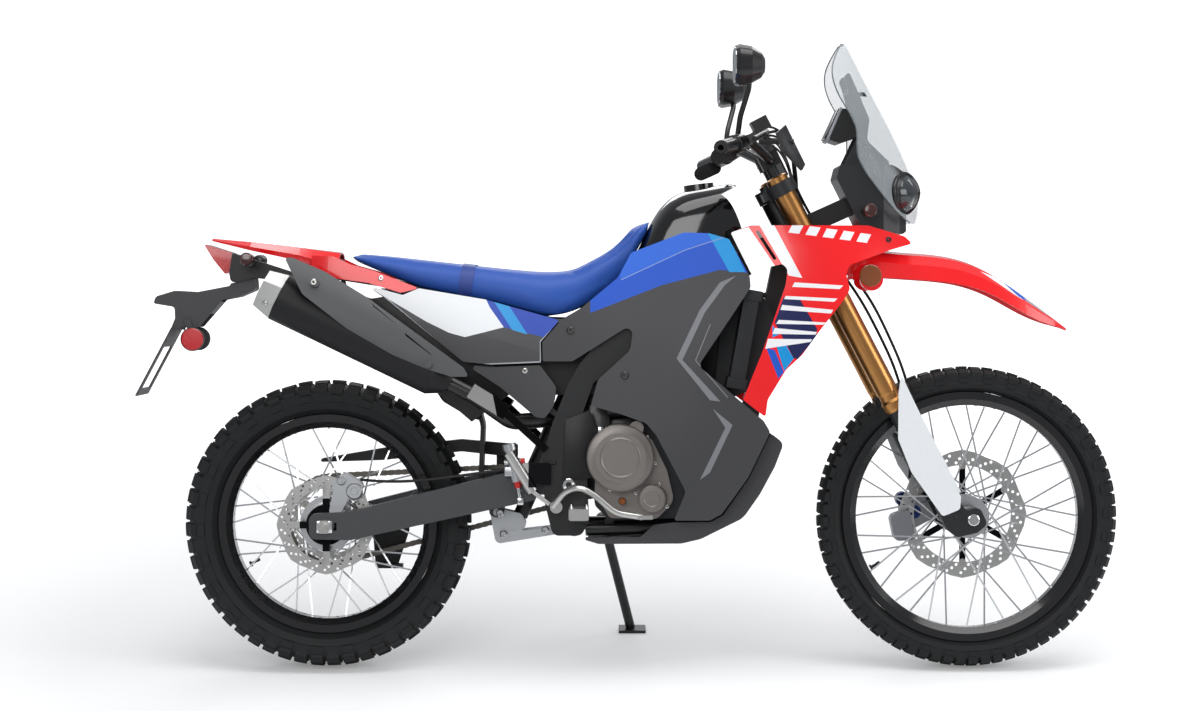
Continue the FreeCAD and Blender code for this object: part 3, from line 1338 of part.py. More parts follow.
def tail_cowl():
    t = size("panel_thickness")
    outer = section_loft([tail_ring(x, top, low, half, 0, 0) for x, top, low, half in TAIL], True)
    inner = section_loft([tail_ring(x, top, low, half, t, 30) for x, top, low, half in TAIL[1:]], True)
    end = Part.makeBox(20, 190, 90, V(30, -95, 870))
    arms = panel([(-30, 934, 2), (20, 932, 20), (58, 914, 20), (112, 899, 30), (214, 860, 3), (172, 850, 6),
                  (98, 872, 6), (28, 882, 20), (-30, 902, 2)], -1.5)
    shell = outer.cut(inner).cut(end)
    ribs = [Part.makeBox(12, 12, 22.6, V(-40, side * 66 - 6, 912.4)) for side in (-1, 1)]
    feature("tail_cowl", fused([shell, arms, mirrored(arms)] + ribs))


def tail_lamp():
    outline = [(-281, 962, 3), (-215.4, 941, 3), (-222.4, 896, 6), (-232, 893, 4), (-258, 925, 14)]
    lamp = side_plate(outline, -46, 46, 4)
    feature("tail_lamp", lamp)


FENDER_ROOM = 16.0


def rear_fender():
    ahead = size("rear_tyre_radius") + FENDER_ROOM
    outer = [(ahead + 10, 402, 3), (ahead + 16, 548, 40), (318, 700, 60), (190, 808, 60), (0, 866, 60),
             (-80, 896, 6), (-215, 940, 4), (-222, 896, 6), (-218, 872, 10), (-165, 884, 10), (-70, 872, 20),
             (0, 856, 60), (184, 798, 60), (308, 696, 60), (ahead + 6, 548, 40), (ahead, 402, 3)]
    band_shape = side_plate(outer, -52, 52, 4)
    walls = []
    for side in (-1, 1):
        wall = [(186, 803, 6), (206, 742, 40), (214, 680, 40), (262, 604, 30), (326, 566, 20), (ahead + 10, 560, 4),
                (ahead + 4, 600, 40), (313, 698, 60)]
        walls.append(side_plate(wall, side * 46, side * 51, 6))
    hanger = Part.makeBox(12, 40, 16, V(-56, -20, 878.7))
    feature("rear_fender", fused([band_shape, hanger] + walls))


def plate_holder():
    arm = side_plate([(-395, 826, 4), (-390, 842, 12), (-347, 855, 14), (-295, 852, 20), (-222, 866, 20),
                      (-219, 871.7, 1), (-166, 883.7, 2), (-164, 857, 8), (-201, 841, 14), (-238, 834, 6),
                      (-292, 772, 8), (-345, 772, 6), (-347, 818, 8)], -42, 42, 4)
    hollow = side_plate([(-385, 820, 2), (-340, 845, 6), (-240, 858, 6), (-200, 845, 4), (-246, 828, 4),
                         (-294, 765, 2), (-400, 765, 2)], -38, 38, 2)
    plate_top = V(-347, 0, 771)
    plate_low = V(-428, 0, 618)
    back = bar(plate_top, plate_low, 170, 4)
    window = bar(plate_top * 0.72 + plate_low * 0.28, plate_top * 0.10 + plate_low * 0.90, 120, 8)
    lean_back = (plate_top - plate_low).normalize()
    normal = lean_back.cross(LEFT).normalize()
    plate = back.cut(window)
    for side in (-1, 1):
        spot = plate_top * 0.80 + plate_low * 0.20 + V(0, side * PLATE_BOLTS / 2, 0)
        plate = plate.cut(Part.makeCylinder(3.5, 20, spot - normal * 10, normal))
    lugs = [bar(V(-332, side * 40, 800), V(-345, side * 40, 768), 6, 20) for side in (-1, 1)]
    feature("plate_holder", fused([arm.cut(hollow), plate] + lugs + rear_reflectors()))


PLATE_BOLTS = 150.0


def rear_reflectors():
    parts = []
    for side in (-1, 1):
        parts.append(Part.makeCylinder(27, 9, V(-305, side * 45, 745), LEFT * side))
        parts.append(bar(V(-305, side * 42.5, 752), V(-318, side * 42.5, 790), 8, 14))
    return parts


def indicators():
    parts = []
    for x, z, y0, y1 in ((-172, 924, 52.3, 96), (1217, 1034, 78.3, 118)):
        for side in (-1, 1):
            shift = HEAD_SHIFT if x > 1000 else V(0, 0, 0)
            base = V(x, side * y0, z) + shift
            stalk = Part.makeCylinder(7, y1 - y0, base, LEFT * side)
            lens = Part.makeSphere(1)
            matrix = FreeCAD.Matrix()
            matrix.scale(17, 28, 15)
            lens = lens.transformGeometry(matrix)
            lens.translate(V(x, side * (y1 + 20), z) + shift)
            parts.append(fused([stalk, lens]))
    feature("indicators", Part.makeCompound(parts))


# Headlight, screen and instruments
LAMP = V(1272, 0, 1077)
LAMP_REACH = V(75, 88, 52)


def lamp_nose(grow):
    # The headlamp's rounded front, as it is or a little larger.
    nose = Part.makeSphere(1)
    matrix = FreeCAD.Matrix()
    matrix.scale(LAMP_REACH.x + grow, LAMP_REACH.y + grow, LAMP_REACH.z + grow)
    nose = nose.transformGeometry(matrix)
    nose.translate(LAMP + HEAD_SHIFT)
    return nose


def side_oval(ahead, above, half_long, half_high, grow=0.0):
    # An upright oval seen from the side, through the whole width, placed from the lamp's middle.
    middle = LAMP + HEAD_SHIFT + V(ahead, -200, above)
    edge = Part.Ellipse(middle + V(0, 0, half_high + grow), middle + V(half_long + grow, 0, 0), middle)
    return Part.Face(Part.Wire([edge.toShape()])).extrude(V(0, 400, 0))


def lens_bowls(grow):
    # Both lenses as bowls on the lamp's front, as they are or with room round them.
    bowl = lamp_nose(2 + grow).cut(lamp_nose(-3 - grow))
    bowl = bowl.common(side_oval(46, -1, 23, 42, grow))
    middle = Part.makeBox(120, 12 - 2 * grow, 160, V(LAMP.x, grow - 6, LAMP.z - 80) + HEAD_SHIFT)
    return bowl.cut(middle)


def headlight_housing():
    outline = [(1212, 990, 10), (1305, 984, 10), (1340, 1010, 10), (1352, 1060, 20), (1318, 1118, 20),
               (1280, 1140, 16), (1160, 1142, 10), (1152, 1110, 10)]
    points = [(x + HEAD_SHIFT.x, z + HEAD_SHIFT.z) + tuple(rest) for x, z, *rest in outline]
    body = side_plate(points, -78, 78, 8)
    plan = [(1140, -78), (1258, -78), (1296, -62), (1314, -36), (1318, 0), (1314, 36), (1296, 62), (1258, 78),
            (1140, 78)]
    corners = [V(x, y, 900) + HEAD_SHIFT for x, y in plan]
    body = body.common(flat_face(corners).extrude(V(0, 0, 400)))
    bezel = lamp_nose(0).common(side_oval(40, 0, 36, 51))
    room = Part.makeCylinder(136, 400, V(0, 0, 600), UP).transformed(STEER.toMatrix())
    stay_way = (steer_point(*STAY_END) - steer_point(*STAY_START)).normalize()
    socket = bar(steer_point(*STAY_START) + stay_way * 80, steer_point(*STAY_END) + stay_way * 0.5, 40.6, 44.6)
    return fused([body, bezel]).cut(room).cut(socket).cut(lens_bowls(seat_gap))


def headlight():
    feature("headlight", fused([headlight_housing()] + screen_stay()))


def headlight_lens():
    feature("headlight_lens", Part.makeCompound(lens_bowls(0).Solids))


SCREEN = [(1415, 1178, 1150, 46), (1350, 1213, 1130, 104), (1289, 1245, 1152, 112), (1220, 1282, 1204, 116),
          (1157, 1312, 1184, 116), (1079, 1344, 1247, 108), (1029, 1346, 1286, 98), (1008, 1338, 1316, 84)]


def screen_ring(z, nose, edge, half, thick):
    z += HEAD_SHIFT.z
    nose += HEAD_SHIFT.x
    edge += HEAD_SHIFT.x

    def bow(inset):
        return Part.Arc(V(edge, half - inset, z), V(nose - inset, 0, z), V(edge, -half + inset, z)).toShape()

    outer = bow(0)
    inner = bow(thick)
    first = Part.makeLine(V(edge, half, z), V(edge, half - thick, z))
    last = Part.makeLine(V(edge, -half, z), V(edge, -half + thick, z))
    return Part.Wire([outer, last, inner, first])


def screen_shape():
    whole = section_loft([screen_ring(z, nose, edge, half, 3) for z, nose, edge, half in SCREEN])
    return whole.cut(side_oval(40, 0, 36, 51, 1.5))


def windscreen():
    feature("windscreen", screen_shape())


def screen_stay():
    parts = []
    for side in (-1, 1):
        points = [(1181, 1352, 10), (1190, 1332, 10), (1201, 1307, 20), (1228, 1244, 20), (1222, 1196, 20),
                  (1272, 1148, 10), (1272, 1130, 2), (1166, 1130, 2), (1204, 1210, 20), (1180, 1309, 20),
                  (1170, 1338, 10)]
        shifted = [(x + HEAD_SHIFT.x, z + HEAD_SHIFT.z) + tuple(rest) for x, z, *rest in points]
        parts.append(side_plate(shifted, side * 56, side * 62, 6))
        boss = rod(V(1190, side * 59, 1300) + HEAD_SHIFT, V(1250, side * 59, 1300) + HEAD_SHIFT, 5)
        screen = screen_shape()
        boss = boss.cut(screen).cut(screen.translated(V(-0.4, 0, 0)))
        parts.append(min(boss.Solids, key=lambda solid: solid.BoundBox.XMax))
    cross = Part.makeCylinder(6, 112, V(1186, -56, 1310) + HEAD_SHIFT, LEFT)
    return parts + [cross]


def instruments():
    points = [(1137, 1198, 6), (1168, 1270, 8), (1196, 1262, 8), (1204, 1206, 8), (1160, 1190, 8)]
    shifted = [(x + HEAD_SHIFT.x, z + HEAD_SHIFT.z) + tuple(rest) for x, z, *rest in points]
    body = side_plate(shifted, -55.7, 55.7, 4)
    feature("instrument_panel", body)


# Feet
def footpegs():
    parts = []
    for side in (-1, 1):
        peg = side_plate([(548, 348, 5), (548, 374, 5), (592, 374, 5), (592, 348, 5)], side * 158, side * 236, 4)
        bracket = side_plate([(556, 350, 4), (556, 372, 4), (584, 372, 4), (584, 350, 4)],
                             side * (SPAR_OUT + seat_gap), side * 160, 3)
        parts.append(fused([peg, bracket]))
        mount = bar(V(496, side * (SPAR_OUT + 8.1), 500), V(402, side * 166, 588), 16, 16)
        fold = bar(V(410, side * 168, 584), V(330, side * 184, 634), 16, 34)
        parts.append(fused([mount, fold]))
    feature("footpegs", Part.makeCompound(parts))


def brake_pedal():
    y = -186.0
    lever = tube([V(512, y + 40, 372), V(540, y + 16, 408), V(573, y, 420), V(606, y, 400), V(653, y, 361),
                  V(712, y + 2, 352)], 7, 60)
    tip = Part.makeBox(34, 26, 9, V(700, y - 12, 348))
    boss = ring_y(14, 0, 520, 372, -SPAR_OUT - seat_gap, y + 34)
    return fused([lever, tip, boss])


def shift_lever():
    lever = tube([V(650, 140, 372), V(700, 150, 376), V(752, 158, 384)], 6, 60)
    boss = ring_y(12, 0, 646, 372, 112.6, 150)
    tip = ring_y(9, 0, 752, 384, 154, 184)
    return fused([lever, boss, tip])


def brake_cylinder():
    body = rod(V(414, -144, 492), V(468, -144, 406), 13)
    lug = side_plate([(440, 470, 6), (508, 470, 6), (508, 420, 6), (456, 424, 6)], -133, -142, 6)
    seat_block = side_plate([(490, 466, 3), (508, 466, 3), (508, 424, 3), (490, 424, 3)],
                            -SPAR_OUT - seat_gap, -136, 3)
    rod_end = rod(V(468, -144, 406), V(505, -144, 378), 5)
    return fused([body, lug, seat_block, rod_end])


def foot_controls():
    feature("foot_controls", Part.makeCompound([brake_pedal(), shift_lever(), brake_cylinder()]))


def make_frame():
    feature("frame", fused([frame(), stand_bracket(), pivot_bolt()]))


def make_chassis():
    make_frame()
    swingarm()
    rear_axle()
    rear_caliper()
    drive_chain()
    chain_guards()
    shock()
    linkage()
    engine()
    engine_covers()
    exhaust_pipe()
    muffler_parts()
    muffler_guard()
    radiator()
    airbox()
    skid_plate()
    footpegs()
    foot_controls()
    side_stand()


def make_bodywork():
    seat()
    fuel_tank()
    side_covers()
    side_cowls()
    front_shrouds()
    tail_cowl()
    tail_lamp()
    rear_fender()
    plate_holder()
    indicators()
    headlight()
    headlight_lens()
    windscreen()
    instruments()


make_wheels()
make_front_end()
make_chassis()
make_bodywork()
doc.recompute()

# Check every object, then write one file per piece
for thing in doc.Objects:
    if "Invalid" in thing.State or "Error" in thing.State:
        raise RuntimeError("failed: " + thing.Label)
pieces = [thing for thing in doc.Objects
          if thing.TypeId in ("Part::Feature", "PartDesign::Body")]
for piece in pieces:
    shape = piece.Shape
    if shape.isNull() or not shape.isValid() or not shape.Solids:
        raise RuntimeError("bad shape: " + piece.Label)
    shape.exportStep("parts/" + piece.Label + ".step")
    print(piece.Label, len(shape.Solids), round(shape.Volume / 1000))
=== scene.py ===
# %% [markdown]
# # A dual sport motorcycle, dressed for its portrait
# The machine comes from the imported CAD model, in metres, leaning on its side stand. Nothing in that
# model moves here. Each cell gives one piece or one finish, and says first what the real one is.

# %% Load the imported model
import contextlib
import json
import math

import bpy
from mathutils import Matrix, Vector


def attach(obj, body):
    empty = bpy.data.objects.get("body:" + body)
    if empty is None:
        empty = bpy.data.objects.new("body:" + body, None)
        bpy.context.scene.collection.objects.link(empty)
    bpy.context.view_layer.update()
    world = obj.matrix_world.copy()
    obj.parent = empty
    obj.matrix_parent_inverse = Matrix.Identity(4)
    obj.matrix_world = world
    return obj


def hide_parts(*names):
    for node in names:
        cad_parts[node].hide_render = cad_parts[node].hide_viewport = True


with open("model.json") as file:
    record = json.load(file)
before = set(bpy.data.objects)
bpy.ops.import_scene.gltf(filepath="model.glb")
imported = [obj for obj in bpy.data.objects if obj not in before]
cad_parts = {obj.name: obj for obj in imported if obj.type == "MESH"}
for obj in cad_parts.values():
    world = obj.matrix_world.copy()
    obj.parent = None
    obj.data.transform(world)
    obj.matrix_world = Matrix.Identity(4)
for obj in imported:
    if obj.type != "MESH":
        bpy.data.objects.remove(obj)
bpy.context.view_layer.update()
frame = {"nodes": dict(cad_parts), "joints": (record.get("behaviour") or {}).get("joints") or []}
nodes = frame["nodes"]

# %% [markdown]
# ## Upright measurements
# A motorcycle is measured upright: x forwards from the rear axle, y to the rider's left, z up from the
# ground. The model leans about a line along the ground, so the rear axle's own direction tells how far.
# One matrix leans whatever is modelled upright, and its inverse stands the model up for the patterns.

# %% The lean, read from the rear wheel's joint
REAR_AXLE_HEIGHT = 0.326
SIDES = ((-1, "right"), (1, "left"))
joints = {joint["name"]: joint for joint in frame["joints"]}
rear_joint = joints["rear_wheel_spin"]
lean_angle = math.atan2(-rear_joint["axis"][2], rear_joint["axis"][1])
turn = Matrix.Rotation(-lean_angle, 4, "X")
LEAN = Matrix.Translation(Vector(rear_joint["pos_m"]) - turn @ Vector((0, 0, REAR_AXLE_HEIGHT))) @ turn
UPRIGHT = LEAN.inverted()
FRONT_AXLE = UPRIGHT @ Vector(joints["front_wheel_spin"]["pos_m"])
REAR_AXLE = UPRIGHT @ Vector(rear_joint["pos_m"])
print("lean", round(math.degrees(lean_angle), 2), "front axle", [round(v, 4) for v in FRONT_AXLE])


def mm(x, y, z):
    """An upright point in millimetres, as a vector in metres."""
    return Vector((x, y, z)) / 1000


# %% [markdown]
# ## The camera
# The portrait was taken square to the right side from about six metres, with the lens level with the
# tank. Placing the camera in upright measurements, and leaning it with the machine, keeps that view.
# The picture is a crop of a larger one, so the lens is shifted a little and not tilted.

# %% Camera
CAMERA_PLACE = mm(562, -6200, 834)
camera_data = bpy.data.cameras.new("portrait_lens")
camera_data.lens = 81.4
camera_data.sensor_width = 36
camera_data.shift_x = 0.0208
camera_data.shift_y = -0.0463
camera = bpy.data.objects.new("portrait_camera", camera_data)
bpy.context.scene.collection.objects.link(camera)
camera.matrix_world = LEAN @ Matrix.Translation(CAMERA_PLACE) @ Matrix.Rotation(math.pi / 2, 4, "X")
bpy.context.scene.camera = camera
print("camera", [round(v, 3) for v in camera.matrix_world.translation])

# %% [markdown]
# ## How a finish is made
# Every colour is written as it is seen on a screen and turned into the linear value that the shader
# wants. One small function adds a node, with its options and its inputs, and an input is either a
# value or another node's output. Patterns read the Object coordinates, stood upright by a Mapping
# node, so that a line on the bodywork can be given in millimetres.

# %% Helpers for finishes
def linear(code):
    """A screen colour such as "FF2328" as linear red, green, blue and alpha."""
    parts = [int(code[i : i + 2], 16) / 255 for i in (0, 2, 4)]
    return tuple(c / 12.92 if c <= 0.04045 else ((c + 0.055) / 1.055) ** 2.4 for c in parts) + (1.0,)


def add(owner, kind, inputs=None, **options):
    """Adds one node to a material; an input is a value, or a (node, output) pair to link from."""
    tree = owner.node_tree
    made = tree.nodes.new(kind)
    for option, value in options.items():
        setattr(made, option, value)
    for socket, value in (inputs or {}).items():
        if isinstance(value, tuple) and isinstance(value[0], bpy.types.Node):
            tree.links.new(value[0].outputs[value[1]], made.inputs[socket])
        else:
            made.inputs[socket].default_value = value
    return made


def shader_of(material):
    """A material's Principled shader."""
    return material.node_tree.nodes["Principled BSDF"]


def drive(material, node, output, socket):
    """Links a node's output to one of the shader's sockets."""
    material.node_tree.links.new(node.outputs[output], shader_of(material).inputs[socket])


def finish(name, colour, roughness, **constants):
    """A material with a Principled shader of this screen colour and roughness."""
    material = bpy.data.materials.new(name)
    material.use_nodes = True
    shader = shader_of(material)
    shader.inputs["Base Color"].default_value = linear(colour)
    shader.inputs["Roughness"].default_value = roughness
    for socket, value in constants.items():
        shader.inputs[socket.replace("_", " ")].default_value = value
    material.diffuse_color = linear(colour)
    return material


def grained(name, colour, roughness, per_mm, depth, lift=0.0, **constants):
    """A finish with a moulded or cast grain: bumps of a size in mm, and roughness that varies by lift."""
    material = finish(name, colour, roughness, **constants)
    place = add(material, "ShaderNodeTexCoord")
    noise = add(material, "ShaderNodeTexNoise",
                {"Vector": (place, "Object"), "Scale": 1000 / per_mm, "Detail": 3.0, "Roughness": 0.6})
    bump = add(material, "ShaderNodeBump",
               {"Height": (noise, 0), "Strength": depth, "Distance": per_mm / 3000})
    drive(material, bump, "Normal", "Normal")
    if lift:
        spread = add(material, "ShaderNodeMapRange",
                     {"Value": (noise, 0), "To Min": roughness - lift, "To Max": roughness + lift})
        drive(material, spread, "Result", "Roughness")
    return material


def upright_place(material):
    """Upright metres at each point of the surface, from Object coordinates."""
    place = add(material, "ShaderNodeTexCoord")
    return add(material, "ShaderNodeMapping", {"Vector": (place, "Object"), "Rotation": (lean_angle, 0, 0),
                                               "Location": UPRIGHT.to_translation()})


def seen_directly(owner):
    """1 for what the camera sees, also through glass, and 0 for what only lights or is mirrored."""
    ray = add(owner, "ShaderNodeLightPath")
    return add(owner, "ShaderNodeMath", {0: (ray, "Is Camera Ray"), 1: (ray, "Is Transmission Ray")},
               operation="MAXIMUM")


# %% [markdown]
# ## Light and background
# A studio portrait on white: large soft lamps above and beside the machine, and a white surround that
# the gloss and the glass reflect. The surround lights less than it shows.

# %% Lamps
def soft_lamp(name, place, aim, width, depth, power):
    """A rectangular soft box that looks at a point, both in upright millimetres."""
    data = bpy.data.lights.new(name, "AREA")
    data.shape = "RECTANGLE"
    data.size, data.size_y, data.energy = width, depth, power
    lamp = bpy.data.objects.new(name, data)
    bpy.context.scene.collection.objects.link(lamp)
    lamp.location = mm(*place)
    lamp.rotation_euler = (mm(*aim) - mm(*place)).to_track_quat("-Z", "Y").to_euler()


soft_lamp("overhead_box", (700, -300, 3400), (600, 0, 500), 4.2, 2.2, 84)
soft_lamp("near_box", (-1100, -3600, 2500), (500, 0, 600), 2.4, 1.8, 47)
soft_lamp("front_box", (3600, -1600, 1700), (900, 0, 700), 1.6, 2.0, 38)
soft_lamp("far_box", (300, 3600, 2300), (500, 0, 700), 3.0, 1.6, 42)
print("lamps", len(bpy.data.lights))

# %% World
LIGHTING_STRENGTH = 0.34
SHOWN_STRENGTH = 1.1
world = bpy.data.worlds.new("white_surround")
bpy.context.scene.world = world
world.use_nodes = True
strength = add(world, "ShaderNodeMapRange",
               {"Value": (seen_directly(world), 0), "To Min": LIGHTING_STRENGTH, "To Max": SHOWN_STRENGTH})
surround = world.node_tree.nodes["Background"]
surround.inputs["Color"].default_value = (0.93, 0.95, 1.0, 1.0)
world.node_tree.links.new(strength.outputs["Result"], surround.inputs["Strength"])
bpy.context.scene.view_settings.view_transform = "Standard"

# %% [markdown]
# ## Plain finishes
# Rubber, cast and brushed metal, moulded plastic. Each has the roughness that the making leaves.

# %% Metals
alloy = grained("cast_aluminium", "B9BBBD", 0.36, 1.2, 0.12, 0.06, Metallic=1.0)
steel = grained("stainless_steel", "CFCDC9", 0.26, 0.7, 0.05, 0.05, Metallic=1.0)
spoke_steel = grained("zinc_plated_steel", "DADBDC", 0.24, 0.8, 0.05, 0.05, Metallic=1.0)
black_steel = grained("black_enamelled_steel", "131314", 0.34, 2.5, 0.06, 0.04, Coat_Weight=0.15)
dark_metal = grained("satin_black_alloy", "2A2B2D", 0.42, 1.0, 0.12, 0.05, Metallic=0.35)
rim_black = grained("black_anodised_rim", "0D0D0E", 0.2, 6.0, 0.02, Coat_Weight=0.6, Coat_Roughness=0.08)
gold = grained("gold_anodised_alloy", "C08A52", 0.3, 0.6, 0.05, 0.05, Metallic=1.0)
cover_grey = grained("painted_magnesium", "7F7A76", 0.38, 1.0, 0.1, 0.05, Metallic=0.55)
chrome = grained("polished_steel", "E4E5E6", 0.12, 1.5, 0.03, Metallic=1.0)
chain_steel = grained("oiled_chain_steel", "6E6A64", 0.38, 0.6, 0.15, 0.08, Metallic=1.0)
blue_anodised = grained("blue_anodised_alloy", "1D2F63", 0.34, 0.8, 0.08, Metallic=0.8)
copper = grained("copper_plated_bolt", "A5673F", 0.34, 0.7, 0.06, Metallic=1.0)
arm_grey = grained("painted_swingarm_alloy", "47484A", 0.4, 1.0, 0.1, 0.05, Metallic=0.4)

# %% Rubber
rubber = grained("tyre_rubber", "191A1B", 0.6, 1.6, 0.25, 0.08, Specular_IOR_Level=0.3)
grip_rubber = grained("grip_rubber", "161617", 0.7, 0.8, 0.4, Specular_IOR_Level=0.3)
hose_rubber = grained("hose_rubber", "131314", 0.5, 0.7, 0.12, 0.05, Specular_IOR_Level=0.4)
red_boot = grained("red_silicone_rubber", "C4231C", 0.5, 0.8, 0.1)

# %% Plastics
RED_PLASTIC = ("F0161C", 0.2, 9.0, 0.015)
RED_COAT = {"Coat_Weight": 0.5, "Coat_Roughness": 0.06}
moulded = grained("moulded_polypropylene", "3A3A3C", 0.52, 0.8, 0.25, 0.04, Specular_IOR_Level=0.45)
black_plastic = grained("black_moulded_plastic", "121213", 0.42, 0.8, 0.2, 0.05, Specular_IOR_Level=0.4)
gloss_black = grained("gloss_black_abs", "060607", 0.12, 9.0, 0.01, Coat_Weight=0.7, Coat_Roughness=0.04)
white_gloss = grained("white_moulded_plastic", "E6E9EB", 0.28, 3.0, 0.03, 0.03, Coat_Weight=0.2)
red_gloss = grained("red_gloss_plastic", *RED_PLASTIC, **RED_COAT)
lamp_black = grained("lamp_inner_plastic", "1B1C1E", 0.3, 1.0, 0.1)
satin_silver = grained("satin_silver_abs", "8D9196", 0.4, 1.0, 0.06, Metallic=0.3)
head_shell = grained("dark_lamp_shell", "232426", 0.36, 0.8, 0.12, 0.03, Specular_IOR_Level=0.45)
guard_grey = grained("heat_guard_nylon", "4B4C4E", 0.46, 0.8, 0.2, 0.04, Specular_IOR_Level=0.45)
seat_blue = grained("grained_seat_vinyl", "2450A6", 0.5, 1.6, 0.35, 0.05, Specular_IOR_Level=0.4)
strap_blue = grained("seat_strap_vinyl", "213C88", 0.5, 1.2, 0.3)

# %% Lenses, glass and reflectors
clear_screen = grained("clear_polycarbonate", "B9C0C4", 0.03, 20.0, 0.005, IOR=1.25, Alpha=0.26)
screen_rim = grained("cut_polycarbonate_edge", "6F7679", 0.2, 2.0, 0.05, Alpha=0.8)
lamp_glass = grained("headlamp_polycarbonate", "3C4246", 0.05, 15.0, 0.02, Coat_Weight=0.8, Alpha=0.6)
lit_bar = grained("lamp_light_guide", "F4F6F8", 0.2, 2.0, 0.1,
                  Emission_Color=(1.0, 1.0, 1.0, 1.0), Emission_Strength=0.35)
mirror_glass = grained("silvered_glass", "C9CED2", 0.03, 30.0, 0.002, Metallic=1.0)
red_lens = grained("red_acrylic_lens", "B3040A", 0.12, 3.0, 0.15, Coat_Weight=0.8)
indicator_lens = grained("smoked_indicator_acrylic", "3D1A16", 0.14, 2.4, 0.3, Coat_Weight=0.8)
amber = grained("amber_reflector_acrylic", "8A4A1E", 0.22, 2.2, 0.5, Coat_Weight=0.6)
red_reflex = grained("red_reflector_acrylic", "C01018", 0.2, 2.2, 0.5, Coat_Weight=0.6)

# %% [markdown]
# ## Paint that follows measurements
# The coloured shapes on the panels are moulded in or stuck on flush, so they are colour and not relief.
# Each is given by its corners in the side view, in upright millimetres. A straight edge is one question
# to the shader: on which side of this line is the point? A shape is where every answer is yes.

# %% Helpers for painted shapes
def beyond(material, place, way, point):
    """1 on the far side of a plane that faces along way and passes through point, else 0."""
    way = Vector(way).normalized()
    reach = add(material, "ShaderNodeVectorMath", {0: (place, 0), 1: way}, operation="DOT_PRODUCT")
    limit = way.dot(Vector(point)) / 1000
    return add(material, "ShaderNodeMath", {0: (reach, "Value"), 1: limit}, operation="GREATER_THAN")


def near(material, place, point, radius):
    """1 within a radius of a point, both in millimetres, else 0."""
    away = add(material, "ShaderNodeVectorMath", {0: (place, 0), 1: mm(*point)}, operation="DISTANCE")
    return add(material, "ShaderNodeMath", {0: (away, "Value"), 1: radius / 1000}, operation="LESS_THAN")


def combined(material, masks, operation):
    """One mask of several: MULTIPLY gives 1 where all of them are 1, MAXIMUM where any is."""
    both = masks[0]
    for mask in masks[1:]:
        both = add(material, "ShaderNodeMath", {0: (both, 0), 1: (mask, 0)}, operation=operation)
    return both


def beyond_all(material, planes):
    """1 on the far side of every plane, each (way, point)."""
    place = upright_place(material)
    return combined(material, [beyond(material, place, *plane) for plane in planes], "MULTIPLY")


def shape(material, place, corners):
    """1 inside a convex outline of (x, z) corners in the side view."""
    middle = Vector((sum(x for x, z in corners), 0, sum(z for x, z in corners))) / len(corners)
    sides = []
    for i, (x, z) in enumerate(corners):
        before_x, before_z = corners[i - 1]
        way = Vector((z - before_z, 0, before_x - x))
        if way.dot(middle - Vector((x, 0, z))) < 0:
            way = -way
        sides.append(beyond(material, place, way, (x, 0, z)))
    return combined(material, sides, "MULTIPLY")


def paint(material, layers):
    """Paints outlines over the finish, one layer after the other, each (screen colour, its outlines)."""
    place = upright_place(material)
    under = tuple(shader_of(material).inputs["Base Color"].default_value)
    for code, outlines in layers:
        mask = combined(material, [shape(material, place, corners) for corners in outlines], "MAXIMUM")
        mixed = add(material, "ShaderNodeMix", {0: (mask, 0), 6: under, 7: linear(code)}, data_type="RGBA")
        under = (mixed, 2)
    drive(material, *under, "Base Color")
    print(material.name, "nodes", len(material.node_tree.nodes))


def recolour(material, mask, codes, roughness=None):
    """Gives a surface one colour where a mask is 0 and another where it is 1, and so its roughness."""
    colours = add(material, "ShaderNodeMix", {0: (mask, 0), 6: linear(codes[0]), 7: linear(codes[1])},
                  data_type="RGBA")
    drive(material, colours, 2, "Base Color")
    if roughness:
        spread = add(material, "ShaderNodeMapRange",
                     {"Value": (mask, 0), "To Min": roughness[0], "To Max": roughness[1]})
        drive(material, spread, "Result", "Roughness")


def stripe(x0, z0, x1, z1, width):
    """The corners of a straight stripe between two points of the side view."""
    way = Vector((x1 - x0, z1 - z0)).normalized() * width / 2
    return [(x0 - way.y, z0 + way.x), (x1 - way.y, z1 + way.x),
            (x1 + way.y, z1 - way.x), (x0 + way.y, z0 - way.x)]


# %% [markdown]
# ## Painted panels
# Red gloss shrouds with white, navy and blue shapes and a row of slanted bars. Dark moulded cowls with
# a blue shoulder and silver angles. White and blue side covers over a dark base. The colours are those
# of the real panels, the glosses those of such plastic.

# %% Shrouds
shroud = grained("red_shroud_plastic", *RED_PLASTIC, **RED_COAT)
slashes = [[(x, z), (x + 24, z - 3), (x + 14, z - 22), (x - 10, z - 19)]
           for x, z in ((1046, 1003), (1084, 998), (1122, 993), (1160, 988), (1198, 983))]
paint(shroud, [
    ("F2F3F5", [[(902, 984), (949, 996), (1007, 909), (950, 889)],
                [(967, 1010), (995, 1020), (1066, 883), (1036, 888)]]),
    ("161C50", [[(1024, 840), (1060, 836), (1098, 770), (1096, 752), (1053, 701), (1004, 784)],
                [(1004, 784), (1027, 784), (1060, 707), (1046, 704)]]),
    ("0A93D8", [[(999, 779), (1013, 757), (999, 751)],
                [(1004, 743), (1024, 743), (1046, 704), (1025, 676)]]),
    ("1B57C4", [[(985, 728), (1004, 723), (1024, 674), (1012, 660)]]),
    ("F2F3F5", [[(1049, 873), (1157, 866), (1149, 858), (1043, 863)],
                [(1029, 843), (1144, 837), (1136, 830), (1025, 836)],
                [(1021, 823), (1134, 812), (1129, 804), (1017, 812)],
                [(1013, 790), (1118, 784), (1112, 779), (1007, 781)],
                [(1004, 772), (1098, 763), (1094, 757), (999, 759)],
                [(989, 748), (1087, 747), (1083, 741), (983, 726)]] + slashes),
])

